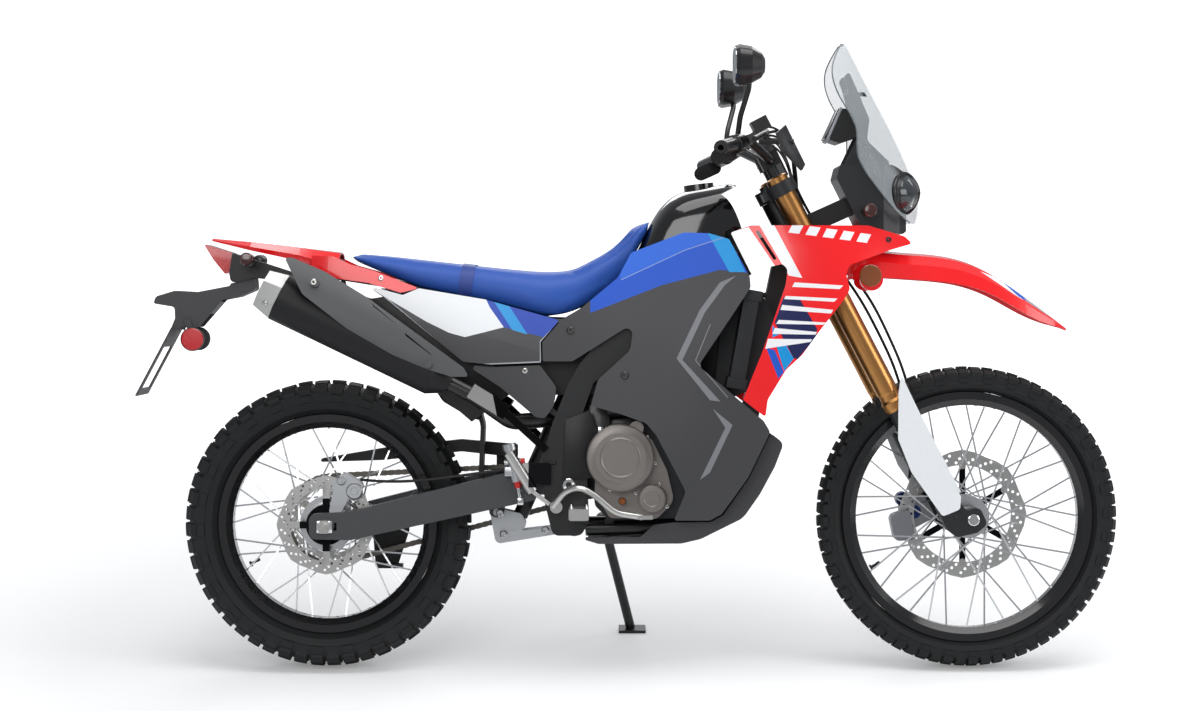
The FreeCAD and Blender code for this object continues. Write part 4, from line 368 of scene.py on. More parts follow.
# %% Cowls
cowl = grained("dark_cowl_plastic", "3B3B3D", 0.5, 0.8, 0.18, 0.03, Specular_IOR_Level=0.45)
paint(cowl, [
    ("0A4FC0", [[(596, 805), (756, 867), (756, 1010), (596, 1010)],
                [(756, 867), (884, 901), (884, 1010), (756, 1010)],
                [(884, 901), (960, 893), (960, 1010), (884, 1010)]]),
    ("2263D2", [[(665, 879), (807, 945), (807, 1010), (640, 1010)],
                [(807, 945), (912, 979), (912, 1010), (807, 1010)]]),
    ("0A93D8", [[(857, 986), (903, 979), (940, 896), (905, 896)]]),
    ("7F93C8", [stripe(665, 879, 807, 945, 2), stripe(807, 945, 904, 977, 2)]),
    ("7A7B7F", [[(839, 812), (884, 873), (895, 867), (850, 806)], [(884, 873), (920, 888), (895, 867)],
                [(787, 704), (839, 812), (850, 806), (800, 701)],
                [(787, 704), (800, 701), (884, 609), (861, 612)],
                [(867, 593), (884, 579), (911, 557), (895, 551)],
                [(895, 551), (911, 557), (861, 451), (839, 435)],
                stripe(829, 700, 900, 618, 2), stripe(829, 700, 862, 780, 2)]),
])

# %% Side covers
cover = grained("side_cover_plastic", "3B3B3D", 0.4, 1.0, 0.08, 0.03, Coat_Weight=0.1)
paint(cover, [
    ("EEF0F2", [[(86, 872), (215, 872), (358, 846), (403, 773), (316, 751), (280, 761), (229, 786),
                 (137, 840)]]),
    ("0B3FAE", [[(358, 846), (536, 798), (528, 776), (496, 750), (403, 773), (372, 817)]]),
    ("0A93D8", [[(376, 838), (410, 828), (456, 757), (422, 767)]]),
    ("9FA2A8", [stripe(137, 840, 310, 694, 3), stripe(310, 694, 350, 689, 3), stripe(350, 690, 486, 696, 3),
                stripe(485, 694, 485, 742, 3), stripe(485, 742, 531, 788, 3)]),
])

# %% Front fender
fender = grained("red_fender_plastic", *RED_PLASTIC, **RED_COAT)
paint(fender, [
    ("F2F3F5", [[(1481, 899), (1526, 882), (1578, 834), (1555, 848)]]),
    ("1B57C4", [[(1526, 882), (1578, 851), (1586, 831), (1566, 843)]]),
    ("9DA0A6", [[(1578, 851), (1646, 800), (1640, 797), (1586, 831)]]),
])

# %% [markdown]
# ## Parts in two finishes
# A muffler with a black shell and a pale end, a caliper with a blue cap, and pegs and pedals whose
# hangers are enamelled black. One or more planes, or a radius, part the two.

# %% Muffler, front caliper, pegs and pedals
muffler_shell = grained("painted_muffler_steel", "131315", 0.5, 0.9, 0.1, Specular_IOR_Level=0.35)
rear_end = beyond_all(muffler_shell, [((-379, 0, 193), (-96, 0, 841))])
recolour(muffler_shell, rear_end, ("131315", "C4C4C2"), (0.5, 0.3))
drive(muffler_shell, rear_end, 0, "Metallic")
caliper_alloy = grained("cast_caliper_alloy", "8E9094", 0.38, 1.0, 0.12, Metallic=0.8)
blue_cap = near(caliper_alloy, upright_place(caliper_alloy), (1345, 90, 345), 28)
recolour(caliper_alloy, blue_cap, ("8E9094", "24356F"))
peg_steel = grained("forged_peg_steel", "C2C1BE", 0.32, 0.8, 0.1, Metallic=1.0)
hanger = beyond_all(peg_steel, [((1, 0, 0.2), (392, 0, 560)), ((0, 0, 1), (0, 0, 440))])
recolour(peg_steel, hanger, ("C2C1BE", "161617"), (0.32, 0.4))
pedal_steel = grained("forged_pedal_alloy", "CBCAC7", 0.28, 0.8, 0.08, Metallic=1.0)
bracket = beyond_all(pedal_steel, [((1, 0, 0), (458, 0, 0)), ((-1, 0, 0), (512, 0, 0)),
                                   ((0, 0, 1), (0, 0, 416))])
recolour(pedal_steel, bracket, ("CBCAC7", "1B1B1D"), (0.28, 0.4))

# %% [markdown]
# ## Every node of the model gets its finish
# A node whose shape is right keeps it, and only its material changes.

# %% Which finish each node has
FINISHES = {
    rubber: ["front_tyre", "rear_tyre"],
    rim_black: ["front_rim", "rear_rim"],
    spoke_steel: ["front_hub", "rear_hub"],
    steel: ["front_disc", "rear_disc", "rear_sprocket", "drive_chain", "front_axle", "rear_axle"],
    peg_steel: ["footpegs"],
    pedal_steel: ["foot_controls"],
    gold: ["fork_tubes"],
    alloy: ["rear_caliper", "shock_linkage"],
    arm_grey: ["swingarm"],
    guard_grey: ["muffler_guard"],
    dark_metal: ["engine", "fork_legs", "triple_clamps", "radiator"],
    black_steel: ["frame", "handlebar", "mirrors", "hand_controls", "exhaust_pipe", "side_stand",
                  "shock_absorber"],
    muffler_shell: ["muffler"],
    caliper_alloy: ["front_caliper"],
    cover_grey: ["engine_covers"],
    moulded: ["skid_plate", "plate_holder"],
    head_shell: ["headlight"],
    black_plastic: ["hand_guards", "rear_fender", "chain_guards", "instrument_panel", "indicators",
                    "airbox"],
    gloss_black: ["fuel_tank"],
    white_gloss: ["fork_guards"],
    red_gloss: ["tail_cowl"],
    shroud: ["front_shrouds"],
    cowl: ["side_cowls"],
    cover: ["side_covers"],
    fender: ["front_fender"],
    red_lens: ["tail_lamp"],
    lamp_glass: ["headlight_lens"],
    clear_screen: ["windscreen"],
    seat_blue: ["seat"],
}
for material, names in FINISHES.items():
    for name in names:
        nodes[name].data.materials.clear()
        nodes[name].data.materials.append(material)
bare = set(nodes) - {name for names in FINISHES.values() for name in names}
print("nodes without a finish:", sorted(bare))

# %% [markdown]
# ## How a piece is made
# Each new piece starts as a primitive at its own size and place on the upright machine, in metres, and
# is shaped there. When it is done, one helper leans it with the rest, names it, rounds its shading and
# says which body it moves with. What repeats is modelled once and copied.

# %% Helpers for pieces
def clear():
    """Back to Object Mode with nothing selected."""
    if bpy.context.object and bpy.context.object.mode != "OBJECT":
        bpy.ops.object.mode_set(mode="OBJECT")
    bpy.ops.object.select_all(action="DESELECT")


def activate(made):
    """Selects one piece alone and makes it the active one."""
    clear()
    made.select_set(True)
    bpy.context.view_layer.objects.active = made


@contextlib.contextmanager
def editing(selected=None):
    """Edit Mode for the lines inside, with all selected if "SELECT" is given, then Object Mode."""
    bpy.ops.object.mode_set(mode="EDIT")
    if selected:
        bpy.ops.mesh.select_all(action=selected)
    yield
    bpy.ops.object.mode_set(mode="OBJECT")


def modified(made, kind, **settings):
    """Applies one modifier with these settings to a piece."""
    activate(made)
    modifier = made.modifiers.new(kind.lower(), kind)
    for setting, value in settings.items():
        setattr(modifier, setting, value)
    bpy.ops.object.modifier_apply(modifier=modifier.name)


def cut_away(made, tool):
    """Cuts one closed shape out of another, and the cutting shape goes."""
    modified(made, "BOOLEAN", operation="DIFFERENCE", solver="EXACT", object=tool)
    bpy.data.objects.remove(tool)


def settle(name, body, material, slot, *replaced, crease=38):
    """Finishes the active piece: leaned into place, named, shaded, riding on its body."""
    made = bpy.context.object
    bpy.ops.object.transform_apply(location=True, rotation=True, scale=True)
    made.data.transform(LEAN)
    made.name = name
    made.data.name = name
    made.data.materials.clear()
    made.data.materials.append(material)
    bpy.ops.object.shade_smooth_by_angle(angle=math.radians(crease))
    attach(made, body)
    if replaced:
        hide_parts(*replaced)


def joined(pieces):
    """Joins pieces into one, which is then the active one."""
    clear()
    for one in pieces:
        one.select_set(True)
    bpy.context.view_layer.objects.active = pieces[0]
    bpy.ops.object.transform_apply(location=True, rotation=True, scale=True)
    if len(pieces) > 1:
        bpy.ops.object.join()
    return bpy.context.object


def rod(start, end, radius, sides=16, tip=None):
    """A round bar from point to point in millimetres, or a cone where tip gives its far radius."""
    start, end = mm(*start), mm(*end)
    way = end - start
    clear()
    bpy.ops.mesh.primitive_cone_add(
        vertices=sides, radius1=radius / 1000, radius2=(radius if tip is None else tip) / 1000,
        depth=way.length, location=(start + end) / 2, rotation=way.to_track_quat("Z", "Y").to_euler())
    return bpy.context.object


def block(low, high, edge):
    """A box between two corners in millimetres, with its edges rounded."""
    low, high = mm(*low), mm(*high)
    clear()
    bpy.ops.mesh.primitive_cube_add(size=1, location=(low + high) / 2)
    made = bpy.context.object
    made.scale = high - low
    bpy.ops.object.transform_apply(location=False, rotation=False, scale=True)
    with editing():
        bpy.ops.mesh.bevel(offset=edge / 1000, segments=2, affect="EDGES")
    return made


def outline_plate(points, thickness, corner=0.0, edge=0.0):
    """A flat polygon of points in millimetres, extruded one way, its corners and then its edges rounded."""
    clear()
    bpy.ops.mesh.primitive_circle_add(vertices=len(points), radius=0.1, fill_type="NGON")
    made = bpy.context.object
    for vertex, point in zip(made.data.vertices, points):
        vertex.co = mm(*point)
    with editing("SELECT"):
        if corner:
            bpy.ops.mesh.bevel(offset=corner / 1000, segments=4, affect="VERTICES")
        bpy.ops.mesh.extrude_region_move(TRANSFORM_OT_translate={"value": mm(*thickness)[:]})
        bpy.ops.mesh.select_all(action="SELECT")
        bpy.ops.mesh.normals_make_consistent(inside=False)
        if edge:
            bpy.ops.mesh.bevel(offset=edge / 1000, segments=2, affect="EDGES")
    return made


def copies(model, moves):
    """One piece made of copies of a model, each moved by a matrix; the model itself goes."""
    made = []
    for move in moves:
        one = model.copy()
        one.data = model.data.copy()
        one.data.transform(move @ model.matrix_world)
        one.matrix_world = Matrix()
        bpy.context.scene.collection.objects.link(one)
        made.append(one)
    bpy.data.objects.remove(model)
    return joined(made)


def pipe(routes, radius, sides=8):
    """Hoses or cables through points in millimetres, each a smooth line, as one mesh."""
    lines = bpy.data.curves.new("pipe", "CURVE")
    lines.dimensions = "3D"
    lines.bevel_depth = radius / 1000
    lines.bevel_resolution = sides // 4
    lines.resolution_u = 6
    lines.use_fill_caps = True
    for route in routes:
        line = lines.splines.new("NURBS")
        line.points.add(len(route) - 1)
        for knot, spot in zip(line.points, route):
            knot.co = (*mm(*spot), 1)
        line.order_u = min(4, len(route))
        line.use_endpoint_u = True
    made = bpy.data.objects.new("pipe", lines)
    bpy.context.scene.collection.objects.link(made)
    activate(made)
    bpy.ops.object.convert(target="MESH")


def both_sides(*routes):
    """Routes, and then their mirror images across the machine."""
    return [*routes, *([(x, -y, z) for x, y, z in route] for route in routes)]


def picked_faces(made, wanted):
    """Enters Edit Mode with only those faces selected whose centre answers wanted."""
    bpy.ops.object.mode_set(mode="EDIT")
    bpy.ops.mesh.select_mode(type="FACE")
    bpy.ops.mesh.select_all(action="DESELECT")
    bpy.ops.object.mode_set(mode="OBJECT")
    for face in made.data.polygons:
        face.select = bool(wanted(face.center))
    bpy.ops.object.mode_set(mode="EDIT")


# %% [markdown]
# ## Tyres
# Enduro tyres: a round carcass with a thin rib on its side wall, a row of blocks on each shoulder and
# staggered blocks between them. The carcass is drawn as a circle at the bead, extruded ring by ring
# and scaled to the section's radius at each step, mirrored and closed. The blocks are faces of that
# tread, picked by their angle and row and extruded outwards, so they grow from the rubber.

# %% A tyre
WALL_RINGS = ((0.42, 0.2), (0.455, 0.32), (0.47, 0.38), (0.462, 0.41), (0.47, 0.5))
TREAD_RINGS = ((0.468, 0.14), (0.33, 0.06), (0.29, 0.045), (0.16, 0.01), (0.12, 0), (0, 0))
BLOCK_ROWS = ((0.34, 0.49, None, 1.05), (0.0, 0.15, 0, 0.98), (0.17, 0.28, 1, 1.0))
BLOCK_SHARE = 0.75
SHOULDER_OUT, SHOULDER_DROP = 0.475, 0.15
WALL_BLOCKS_OUT, WALL_BLOCKS_UP, WALL_BLOCKS_RISE = 0.44, 0.42, 1.045


def tyre(name, body, stands_for, axle, rim, crown, wide, bead, depth, pitches):
    """A knobbly tyre upright on its axle; sizes in millimetres, rings and rows in shares of them."""
    tread = crown - depth
    shoulder = tread - wide * SHOULDER_DROP - 4
    half = [(bead, rim + 3.5), (bead + 5, rim + 7)]
    half += [(wide * out, rim * (1 - up) + crown * up) for out, up in WALL_RINGS]
    half += [(wide * SHOULDER_OUT, shoulder)]
    half += [(wide * out, tread - wide * drop) for out, drop in TREAD_RINGS]
    clear()
    bpy.ops.mesh.primitive_circle_add(vertices=4 * pitches, radius=half[0][1] / 1000,
                                      location=axle, rotation=(math.pi / 2, 0, 0))
    made = bpy.context.object
    made.location.y += half[0][0] / 1000
    with editing():
        for (y0, r0), (y1, r1) in zip(half, half[1:]):
            bpy.ops.mesh.extrude_edges_move(TRANSFORM_OT_translate={"value": (0, (y1 - y0) / 1000, 0)})
            bpy.ops.transform.resize(value=(r1 / r0, 1, r1 / r0), center_override=axle)
    bpy.ops.object.transform_apply(location=True, rotation=True, scale=True)
    made.data.transform(Matrix.Translation(-axle))
    modified(made, "MIRROR", use_axis=(False, True, False))
    with editing():
        bpy.ops.mesh.select_mode(type="EDGE")
        bpy.ops.mesh.select_all(action="DESELECT")
        bpy.ops.mesh.select_non_manifold()
        bpy.ops.mesh.bridge_edge_loops()
        bpy.ops.mesh.select_all(action="SELECT")
        bpy.ops.mesh.normals_make_consistent(inside=False)

    def measured(spot):
        """How many pitches round a face is, its share of the width, and its radius."""
        pitch = math.atan2(spot.z, spot.x) % (2 * math.pi) / (2 * math.pi) * pitches
        return pitch, abs(spot.y) * 1000 / wide, math.hypot(spot.x, spot.z) * 1000

    def on_wall(spot):
        pitch, across, reach = measured(spot)
        above = rim + (crown - rim) * WALL_BLOCKS_UP
        return pitch % 2 < BLOCK_SHARE and across > WALL_BLOCKS_OUT and above < reach < shoulder

    def in_row(low, high, parity):
        def wanted(spot):
            pitch, across, reach = measured(spot)
            return (low < across < high and reach > shoulder and pitch % 1 < BLOCK_SHARE
                    and parity in (None, int(pitch) % 2))
        return wanted

    picked_faces(made, on_wall)
    bpy.ops.mesh.extrude_region_move()
    bpy.ops.transform.resize(value=(1, WALL_BLOCKS_RISE, 1), center_override=(0, 0, 0))
    for low, high, parity, squeeze in BLOCK_ROWS:
        picked_faces(made, in_row(low, high, parity))
        bpy.ops.mesh.extrude_region_move()
        bpy.ops.transform.resize(value=(crown / tread, squeeze, crown / tread), center_override=(0, 0, 0))
    bpy.ops.object.mode_set(mode="OBJECT")
    made.data.transform(Matrix.Translation(axle))
    settle(name, body, rubber, "tyre_rubber", stands_for, crease=28)
    print(name, len(made.data.polygons), "faces")


tyre("front_block_tyre", "front_wheel", "front_tyre", FRONT_AXLE, 281, 341.6, 88, 20, 8.6, 72)
tyre("rear_block_tyre", "rear_wheel", "rear_tyre", REAR_AXLE, 245, 325.6, 124, 31, 9.5, 52)

# %% [markdown]
# ## Brake discs
# Wavy discs of stainless steel, drilled through. The front one floats on six buttons round a black
# carrier. The CAD disc has the wavy edge, so a copy of it is taken, and one drill is modelled, copied
# round in slanting rows and cut away with a Boolean.

# %% Drilled discs
MERGED_WITHIN = 0.00002
DRILL_END = 110
ROW_TURN = 0.3


def merged_copy(node, name):
    """A copy of a node's shape, stood upright, with its loose triangles joined."""
    made = bpy.data.objects.new(name, nodes[node].data.copy())
    bpy.context.scene.collection.objects.link(made)
    made.data.transform(UPRIGHT)
    activate(made)
    with editing("SELECT"):
        bpy.ops.mesh.remove_doubles(threshold=MERGED_WITHIN)
    return made


def round_axle(axle, reach, part):
    """The matrix that moves a thing at the axle out by reach and round by part of a turn."""
    return (Matrix.Translation(axle) @ Matrix.Rotation(2 * math.pi * part, 4, "Y")
            @ Matrix.Translation((reach / 1000, 0, 0)) @ Matrix.Translation(-axle))


def drilled_disc(end, axle, reaches, count, radius, centre, inner):
    """A disc with rows of holes, each row a little further round, and its black carrier within."""
    material = grained(end + "_disc_steel", "C6C6C4", 0.28, 0.8, 0.08, Metallic=1.0)
    within = near(material, upright_place(material), centre, inner)
    recolour(material, within, ("CFCECB", "17181A"), (0.28, 0.4))
    disc = merged_copy(end + "_disc", end + "_drilled_disc")
    x, z = axle.x * 1000, axle.z * 1000
    drill = rod((x, -DRILL_END, z), (x, DRILL_END, z), radius, 10)
    cut_away(disc, copies(drill, [round_axle(axle, reach, (i + row * ROW_TURN) / count)
                                  for row, reach in enumerate(reaches) for i in range(count)]))
    settle(end + "_drilled_disc", end + "_wheel", material, "brake_steel", end + "_disc")


FRONT_DISC_SPOT = (FRONT_AXLE.x * 1000, 58, FRONT_AXLE.z * 1000)
REAR_DISC_SPOT = (0, -72, REAR_AXLE_HEIGHT * 1000)
drilled_disc("front", FRONT_AXLE, (118, 127, 136), 26, 3.6, FRONT_DISC_SPOT, 110)
drilled_disc("rear", REAR_AXLE, (88, 95, 102), 22, 3.2, REAR_DISC_SPOT, 60)

# %% The buttons that carry the front disc
BUTTONS, BUTTON_REACH = 6, 111
x, y, z = FRONT_DISC_SPOT
button = rod((x, y - 4, z), (x, y + 4, z), 8, 14)
copies(button, [round_axle(FRONT_AXLE, BUTTON_REACH, (i + 0.5) / BUTTONS) for i in range(BUTTONS)])
settle("disc_buttons", "front_wheel", steel, "brake_steel")

# %% [markdown]
# ## The chain
# Outer and inner plates take turns, with a roller between each pair. One link of each kind is modelled
# and copied round the two sprockets, whose teeth set the path.

# %% The path of the chain, in metres
PITCH = 0.015875
BACK, BACK_REACH = mm(0, 82, 326), 0.1012
FRONT, FRONT_REACH = mm(626, 82, 424), 0.03567
between = FRONT - BACK
lie = math.atan2(between.z, between.x)
spread = math.acos((BACK_REACH - FRONT_REACH) / between.length)
straight = between.length * math.sin(spread)
nose = FRONT_REACH * 2 * spread
chain_length = 2 * straight + nose + BACK_REACH * (2 * math.pi - 2 * spread)
links = 2 * round(chain_length / PITCH / 2)


def at_back(angle):
    """The point of the rear sprocket's pitch circle at an angle."""
    return BACK + BACK_REACH * Vector((math.cos(angle), 0, math.sin(angle)))


def at_front(angle):
    """The same on the front sprocket."""
    return FRONT + FRONT_REACH * Vector((math.cos(angle), 0, math.sin(angle)))


def chain_point(way):
    """The point at a distance in metres along the chain, from the top of the rear sprocket forwards."""
    if way < straight:
        return at_back(lie + spread).lerp(at_front(lie + spread), way / straight)
    if way < straight + nose:
        return at_front(lie + spread - (way - straight) / FRONT_REACH)
    if way < 2 * straight + nose:
        return at_front(lie - spread).lerp(at_back(lie - spread), (way - straight - nose) / straight)
    return at_back(lie - spread - (way - 2 * straight - nose) / BACK_REACH)


joints_of_chain = [chain_point(chain_length * i / links) for i in range(links)]

# %% One plate of each kind, a pin and a roller, in millimetres
PLATE_RADIUS, PLATE_HALF, WAIST = 7.2, 0.9, 0.72


def plates(out):
    """A pair of chain plates at a distance from the chain's middle, waisted, round their own middle."""
    pair = []
    for side in (-1, 1):
        made = rod((0, side * out - PLATE_HALF, 0), (0, side * out + PLATE_HALF, 0), PLATE_RADIUS, 12)
        bpy.ops.object.transform_apply(location=True, rotation=True, scale=True)
        for corner in made.data.vertices:
            if abs(corner.co.x) > 0.001:
                corner.co.x += math.copysign(PITCH / 2, corner.co.x)
            else:
                corner.co.z *= WAIST
        pair.append(made)
    return joined(pair)


def link_places(first):
    """Matrices for every second link round the chain."""
    places = []
    for i in range(first, links, 2):
        start, end = joints_of_chain[i], joints_of_chain[(i + 1) % links]
        way = end - start
        turned = Matrix.Rotation(-math.atan2(way.z, way.x), 4, "Y")
        places.append(Matrix.Translation((start + end) / 2) @ turned)
    return places


def at_joints(model):
    """A model copied to every joint of the chain."""
    return copies(model, [Matrix.Translation(place) for place in joints_of_chain])


inner = copies(plates(4.0), link_places(0))
outer = copies(plates(6.3), link_places(1))
pins = at_joints(rod((0, -7.6, 0), (0, 7.6, 0), 3.0, 8))
rollers = at_joints(rod((0, -3.4, 0), (0, 3.4, 0), 5.0, 10))
joined([inner, outer, pins, rollers])
settle("roller_chain", "chassis", chain_steel, "brake_steel", "drive_chain")
print("chain links", links)

# %% [markdown]
# ## The seat
# Foam under a grained vinyl cover, drawn down tight over its edges. A pad starts from the CAD solid, a
# little smaller, is remeshed evenly and blown up by a Cloth simulation with gravity off, and no point
# may go further than four millimetres, so that it stays a firm seat. The strap is cut from the same
# skin by two planes, so that it follows the seat exactly.

# %% Seat pad
PAD_VOXEL = 0.005
PAD_RISE = 0.004
CLOTH_FRAMES, CLOTH_PRESSURE = 20, 4
STRAP_CUTS = (((339, 0, 912), (-0.987, 0, 0.16)), ((309, 0, 912), (0.99, 0, -0.14)))


def skin_slice(pad, cuts, out, thick):
    """A band of a pad's skin between planes, each (point in mm, side cut off), raised and thickened."""
    made = pad.copy()
    made.data = pad.data.copy()
    bpy.context.scene.collection.objects.link(made)
    activate(made)
    with editing():
        for point, way in cuts:
            bpy.ops.mesh.select_all(action="SELECT")
            bpy.ops.mesh.bisect(plane_co=mm(*point), plane_no=way, clear_inner=True)
        bpy.ops.mesh.select_all(action="SELECT")
        bpy.ops.transform.shrink_fatten(value=out / 1000)
    modified(made, "SOLIDIFY", thickness=thick / 1000, offset=0)
    return made


pad = merged_copy("seat", "seat_pad")
with editing("SELECT"):
    bpy.ops.transform.shrink_fatten(value=-0.0025)
pad.data.remesh_voxel_size = PAD_VOXEL
bpy.ops.object.voxel_remesh()
before = [corner.co.copy() for corner in pad.data.vertices]
cloth = pad.modifiers.new("blown_up", "CLOTH")
cloth.settings.use_pressure = True
cloth.settings.uniform_pressure_force = CLOTH_PRESSURE
cloth.settings.effector_weights.gravity = 0
for moment in range(1, CLOTH_FRAMES + 1):
    bpy.context.scene.frame_set(moment)
bpy.ops.object.modifier_apply(modifier=cloth.name)
bpy.context.scene.frame_set(1)
for corner, old in zip(pad.data.vertices, before):
    moved = corner.co - old
    if moved.length > PAD_RISE:
        corner.co = old + moved * (PAD_RISE / moved.length)
modified(pad, "SMOOTH", factor=0.5, iterations=4)
strap = skin_slice(pad, STRAP_CUTS, 1.5, 2.2)
modified(pad, "SUBSURF", levels=1, render_levels=1)
settle("seat_pad", "chassis", seat_blue, "seat_vinyl", "seat", crease=60)
activate(strap)
settle("seat_strap", "chassis", strap_blue, "seat_vinyl", crease=40)
print("seat faces", len(pad.data.polygons))

# %% [markdown]
# ## The screen
# Clear polycarbonate, bent from a flat sheet and cut round the headlamp. A grid is bowed to measured
# sections, each (height, where its middle is, where its edge is, half its width), given its thickness,
# and the oval is cut out of it.

# %% Screen
SCREEN_SECTIONS = [(1415, 1180, 1166, 30), (1384, 1197, 1148, 74), (1350, 1213, 1134, 100),
                   (1289, 1245, 1152, 112), (1220, 1282, 1204, 116), (1157, 1312, 1184, 116),
                   (1079, 1344, 1247, 108), (1029, 1346, 1286, 98), (1008, 1338, 1316, 84)]
OVAL_SHARE = 0.74
clear()
bpy.ops.mesh.primitive_grid_add(x_subdivisions=24, y_subdivisions=len(SCREEN_SECTIONS) - 1, size=2)
bent = bpy.context.object
for corner in bent.data.vertices:
    row = round((1 - corner.co.y) / 2 * (len(SCREEN_SECTIONS) - 1))
    z, middle_x, edge_x, half = SCREEN_SECTIONS[row]
    across = corner.co.x
    corner.co = mm(middle_x + (edge_x - middle_x) * across ** 2, half * across, z)
modified(bent, "SUBSURF", levels=1, render_levels=1)
modified(bent, "SOLIDIFY", thickness=0.003, offset=0)
oval = rod((1312, -300, 1077), (1312, 300, 1077), 50, 48)
oval.scale.x = OVAL_SHARE
bpy.ops.object.transform_apply(location=False, rotation=False, scale=True)
cut_away(bent, oval)
settle("bent_screen", "chassis", clear_screen, "clear_lens", "windscreen", crease=50)

# %% [markdown]
# ## Bolts
# Most fasteners here are button heads with a hexagon socket. One is modelled, and copied to each
# place; a ray from beside the machine finds the panel there and how it faces.

# %% Bolts on the panels
OUTSIDE = 900


def surface(x, z, side):
    """The nearest surface seen from a side: an upright point, the way it faces, and if it is there."""
    start = LEAN @ mm(x, side * OUTSIDE, z)
    way = LEAN.to_3x3() @ Vector((0, -side, 0))
    bpy.context.view_layer.update()
    depths = bpy.context.evaluated_depsgraph_get()
    hit, spot, facing = bpy.context.scene.ray_cast(depths, start, way)[:3]
    return UPRIGHT @ spot, UPRIGHT.to_3x3() @ facing, hit


def button_head(radius):
    """A button-head screw at the origin, facing up the z axis."""
    clear()
    bpy.ops.mesh.primitive_cylinder_add(vertices=12, radius=radius / 1000, depth=radius * 0.55 / 1000)
    made = bpy.context.object
    picked_faces(made, lambda middle: middle.z > radius * 0.2 / 1000)
    bpy.ops.mesh.inset(thickness=radius * 0.3 / 1000, depth=radius * 0.18 / 1000)
    bpy.ops.mesh.inset(thickness=radius * 0.22 / 1000)
    bpy.ops.mesh.extrude_region_move(TRANSFORM_OT_translate={"value": (0, 0, -radius * 0.5 / 1000)})
    bpy.ops.object.mode_set(mode="OBJECT")
    return made


def bolts(name, material, slot, radius, spots, sides):
    """Button heads on the surface at (x, z) places, on these sides."""
    moves = []
    for x, z in spots:
        for side in sides:
            spot, facing, hit = surface(x, z, side)
            if hit:
                if facing.y * side < 0:
                    facing = -facing
                moves.append(Matrix.Translation(spot) @ facing.to_track_quat("Z", "Y").to_matrix().to_4x4())
    copies(button_head(radius), moves)
    settle(name, "chassis", material, slot, crease=30)


bolts("cowl_bolts", black_steel, "black_metal", 9, [(552, 766), (673, 666)], (-1, 1))
bolts("cover_bolts", steel, "brake_steel", 6, [(450, 676), (127, 883)], (-1, 1))
bolts("muffler_bolts", steel, "brake_steel", 7, [(-15, 874), (-124, 826), (-127, 922)], (-1,))
bolts("shroud_bolts", black_steel, "black_metal", 6.5, [(1262, 969)], (-1, 1))
bolts("clutch_cover_bolts", steel, "brake_steel", 4.5,
      [(752, 421), (699, 402), (768, 372), (606, 452), (617, 530), (668, 560), (724, 528), (742, 470),
       (640, 410)], (-1,))

# %% [markdown]
# ## The headlamp
# Two light guides stand either side of a dark middle, behind a clear bowl. Each guide is a bent bar
# and sits just under the CAD lens.

# %% Light guides
GUIDE = ((1324, 40, 1046), (1329, 44, 1062), (1330, 46, 1078), (1326, 44, 1094), (1318, 40, 1106))
for side, name in SIDES:
    pipe([[(x, side * y, z) for x, y, z in GUIDE]], 3.2)
    settle(name + "_light_guide", "chassis", lit_bar, "clear_lens")

# %% [markdown]
# ## Mirrors
# The glass is a thin silvered plate, set just inside the rim of each shell, on the side that faces the
# rider. It is the shell's outline, a little smaller, with round corners.

# %% Mirror glass
MIRROR_FACE = 906.6
MIRROR_OUT, MIRROR_UP = 330, 1342
GLASS = [(-66, 22), (-56, 36), (28, 38), (64, 24), (65, -20), (18, -38), (-48, -36), (-68, -14)]
for side, name in SIDES:
    outline_plate([(MIRROR_FACE, side * (MIRROR_OUT + across), MIRROR_UP + up) for across, up in GLASS],
                  (1.5, 0, 0), corner=12)
    settle(name + "_mirror_glass", "steering", mirror_glass, "black_metal")

# %% [markdown]
# ## Hoses and cables
# Black rubber hoses and sheathed cables. They are fixed at both ends, so each is a smooth curve from
# fitting to fitting. Those on the bars and the fork turn with the steering, and the rear brake's run
# stays with the frame.

# %% Hoses on the fork
BRAKE_HOSE, REAR_HOSE, CABLE = 3.4, 3.2, 2.8
pipe([[(960, -230, 1190), (1004, -170, 1216), (1046, -60, 1208), (1060, 30, 1196), (1068, 96, 1130),
       (1085, 112, 1050), (1141, 112, 950), (1219, 108, 851), (1262, 106, 768), (1312, 106, 667),
       (1335, 108, 560), (1345, 106, 470), (1338, 98, 420)],
      [(1050, 60, 1150), (1072, 100, 1100), (1100, 106, 1044), (1160, 106, 946), (1245, 104, 848),
       (1290, 104, 752), (1329, 104, 667), (1352, 104, 560), (1362, 104, 470), (1356, 96, 425)]],
     BRAKE_HOSE)
settle("front_brake_hoses", "steering", hose_rubber, "dark_plastic")
pipe(both_sides([(914, -270, 1158), (950, -226, 1206), (1000, -160, 1232), (1046, -104, 1190),
                 (1066, -66, 1120), (1066, -40, 1050)],
                [(920, -256, 1162), (962, -204, 1196), (1014, -140, 1210), (1052, -92, 1166),
                 (1066, -52, 1100), (1060, -30, 1040)]), CABLE)
settle("bar_cables", "steering", hose_rubber, "dark_plastic")

# %% Hose on the swingarm
pipe([[(520, -130, 470), (470, -124, 462), (380, -130, 452), (250, -130, 432), (150, -120, 424),
       (80, -100, 430)]], REAR_HOSE)
settle("rear_brake_hose", "chassis", hose_rubber, "dark_plastic")

# %% [markdown]
# ## Hardware
# Axle nuts, spoke nipples, valves and reflectors: small turned and pressed parts, each modelled once.

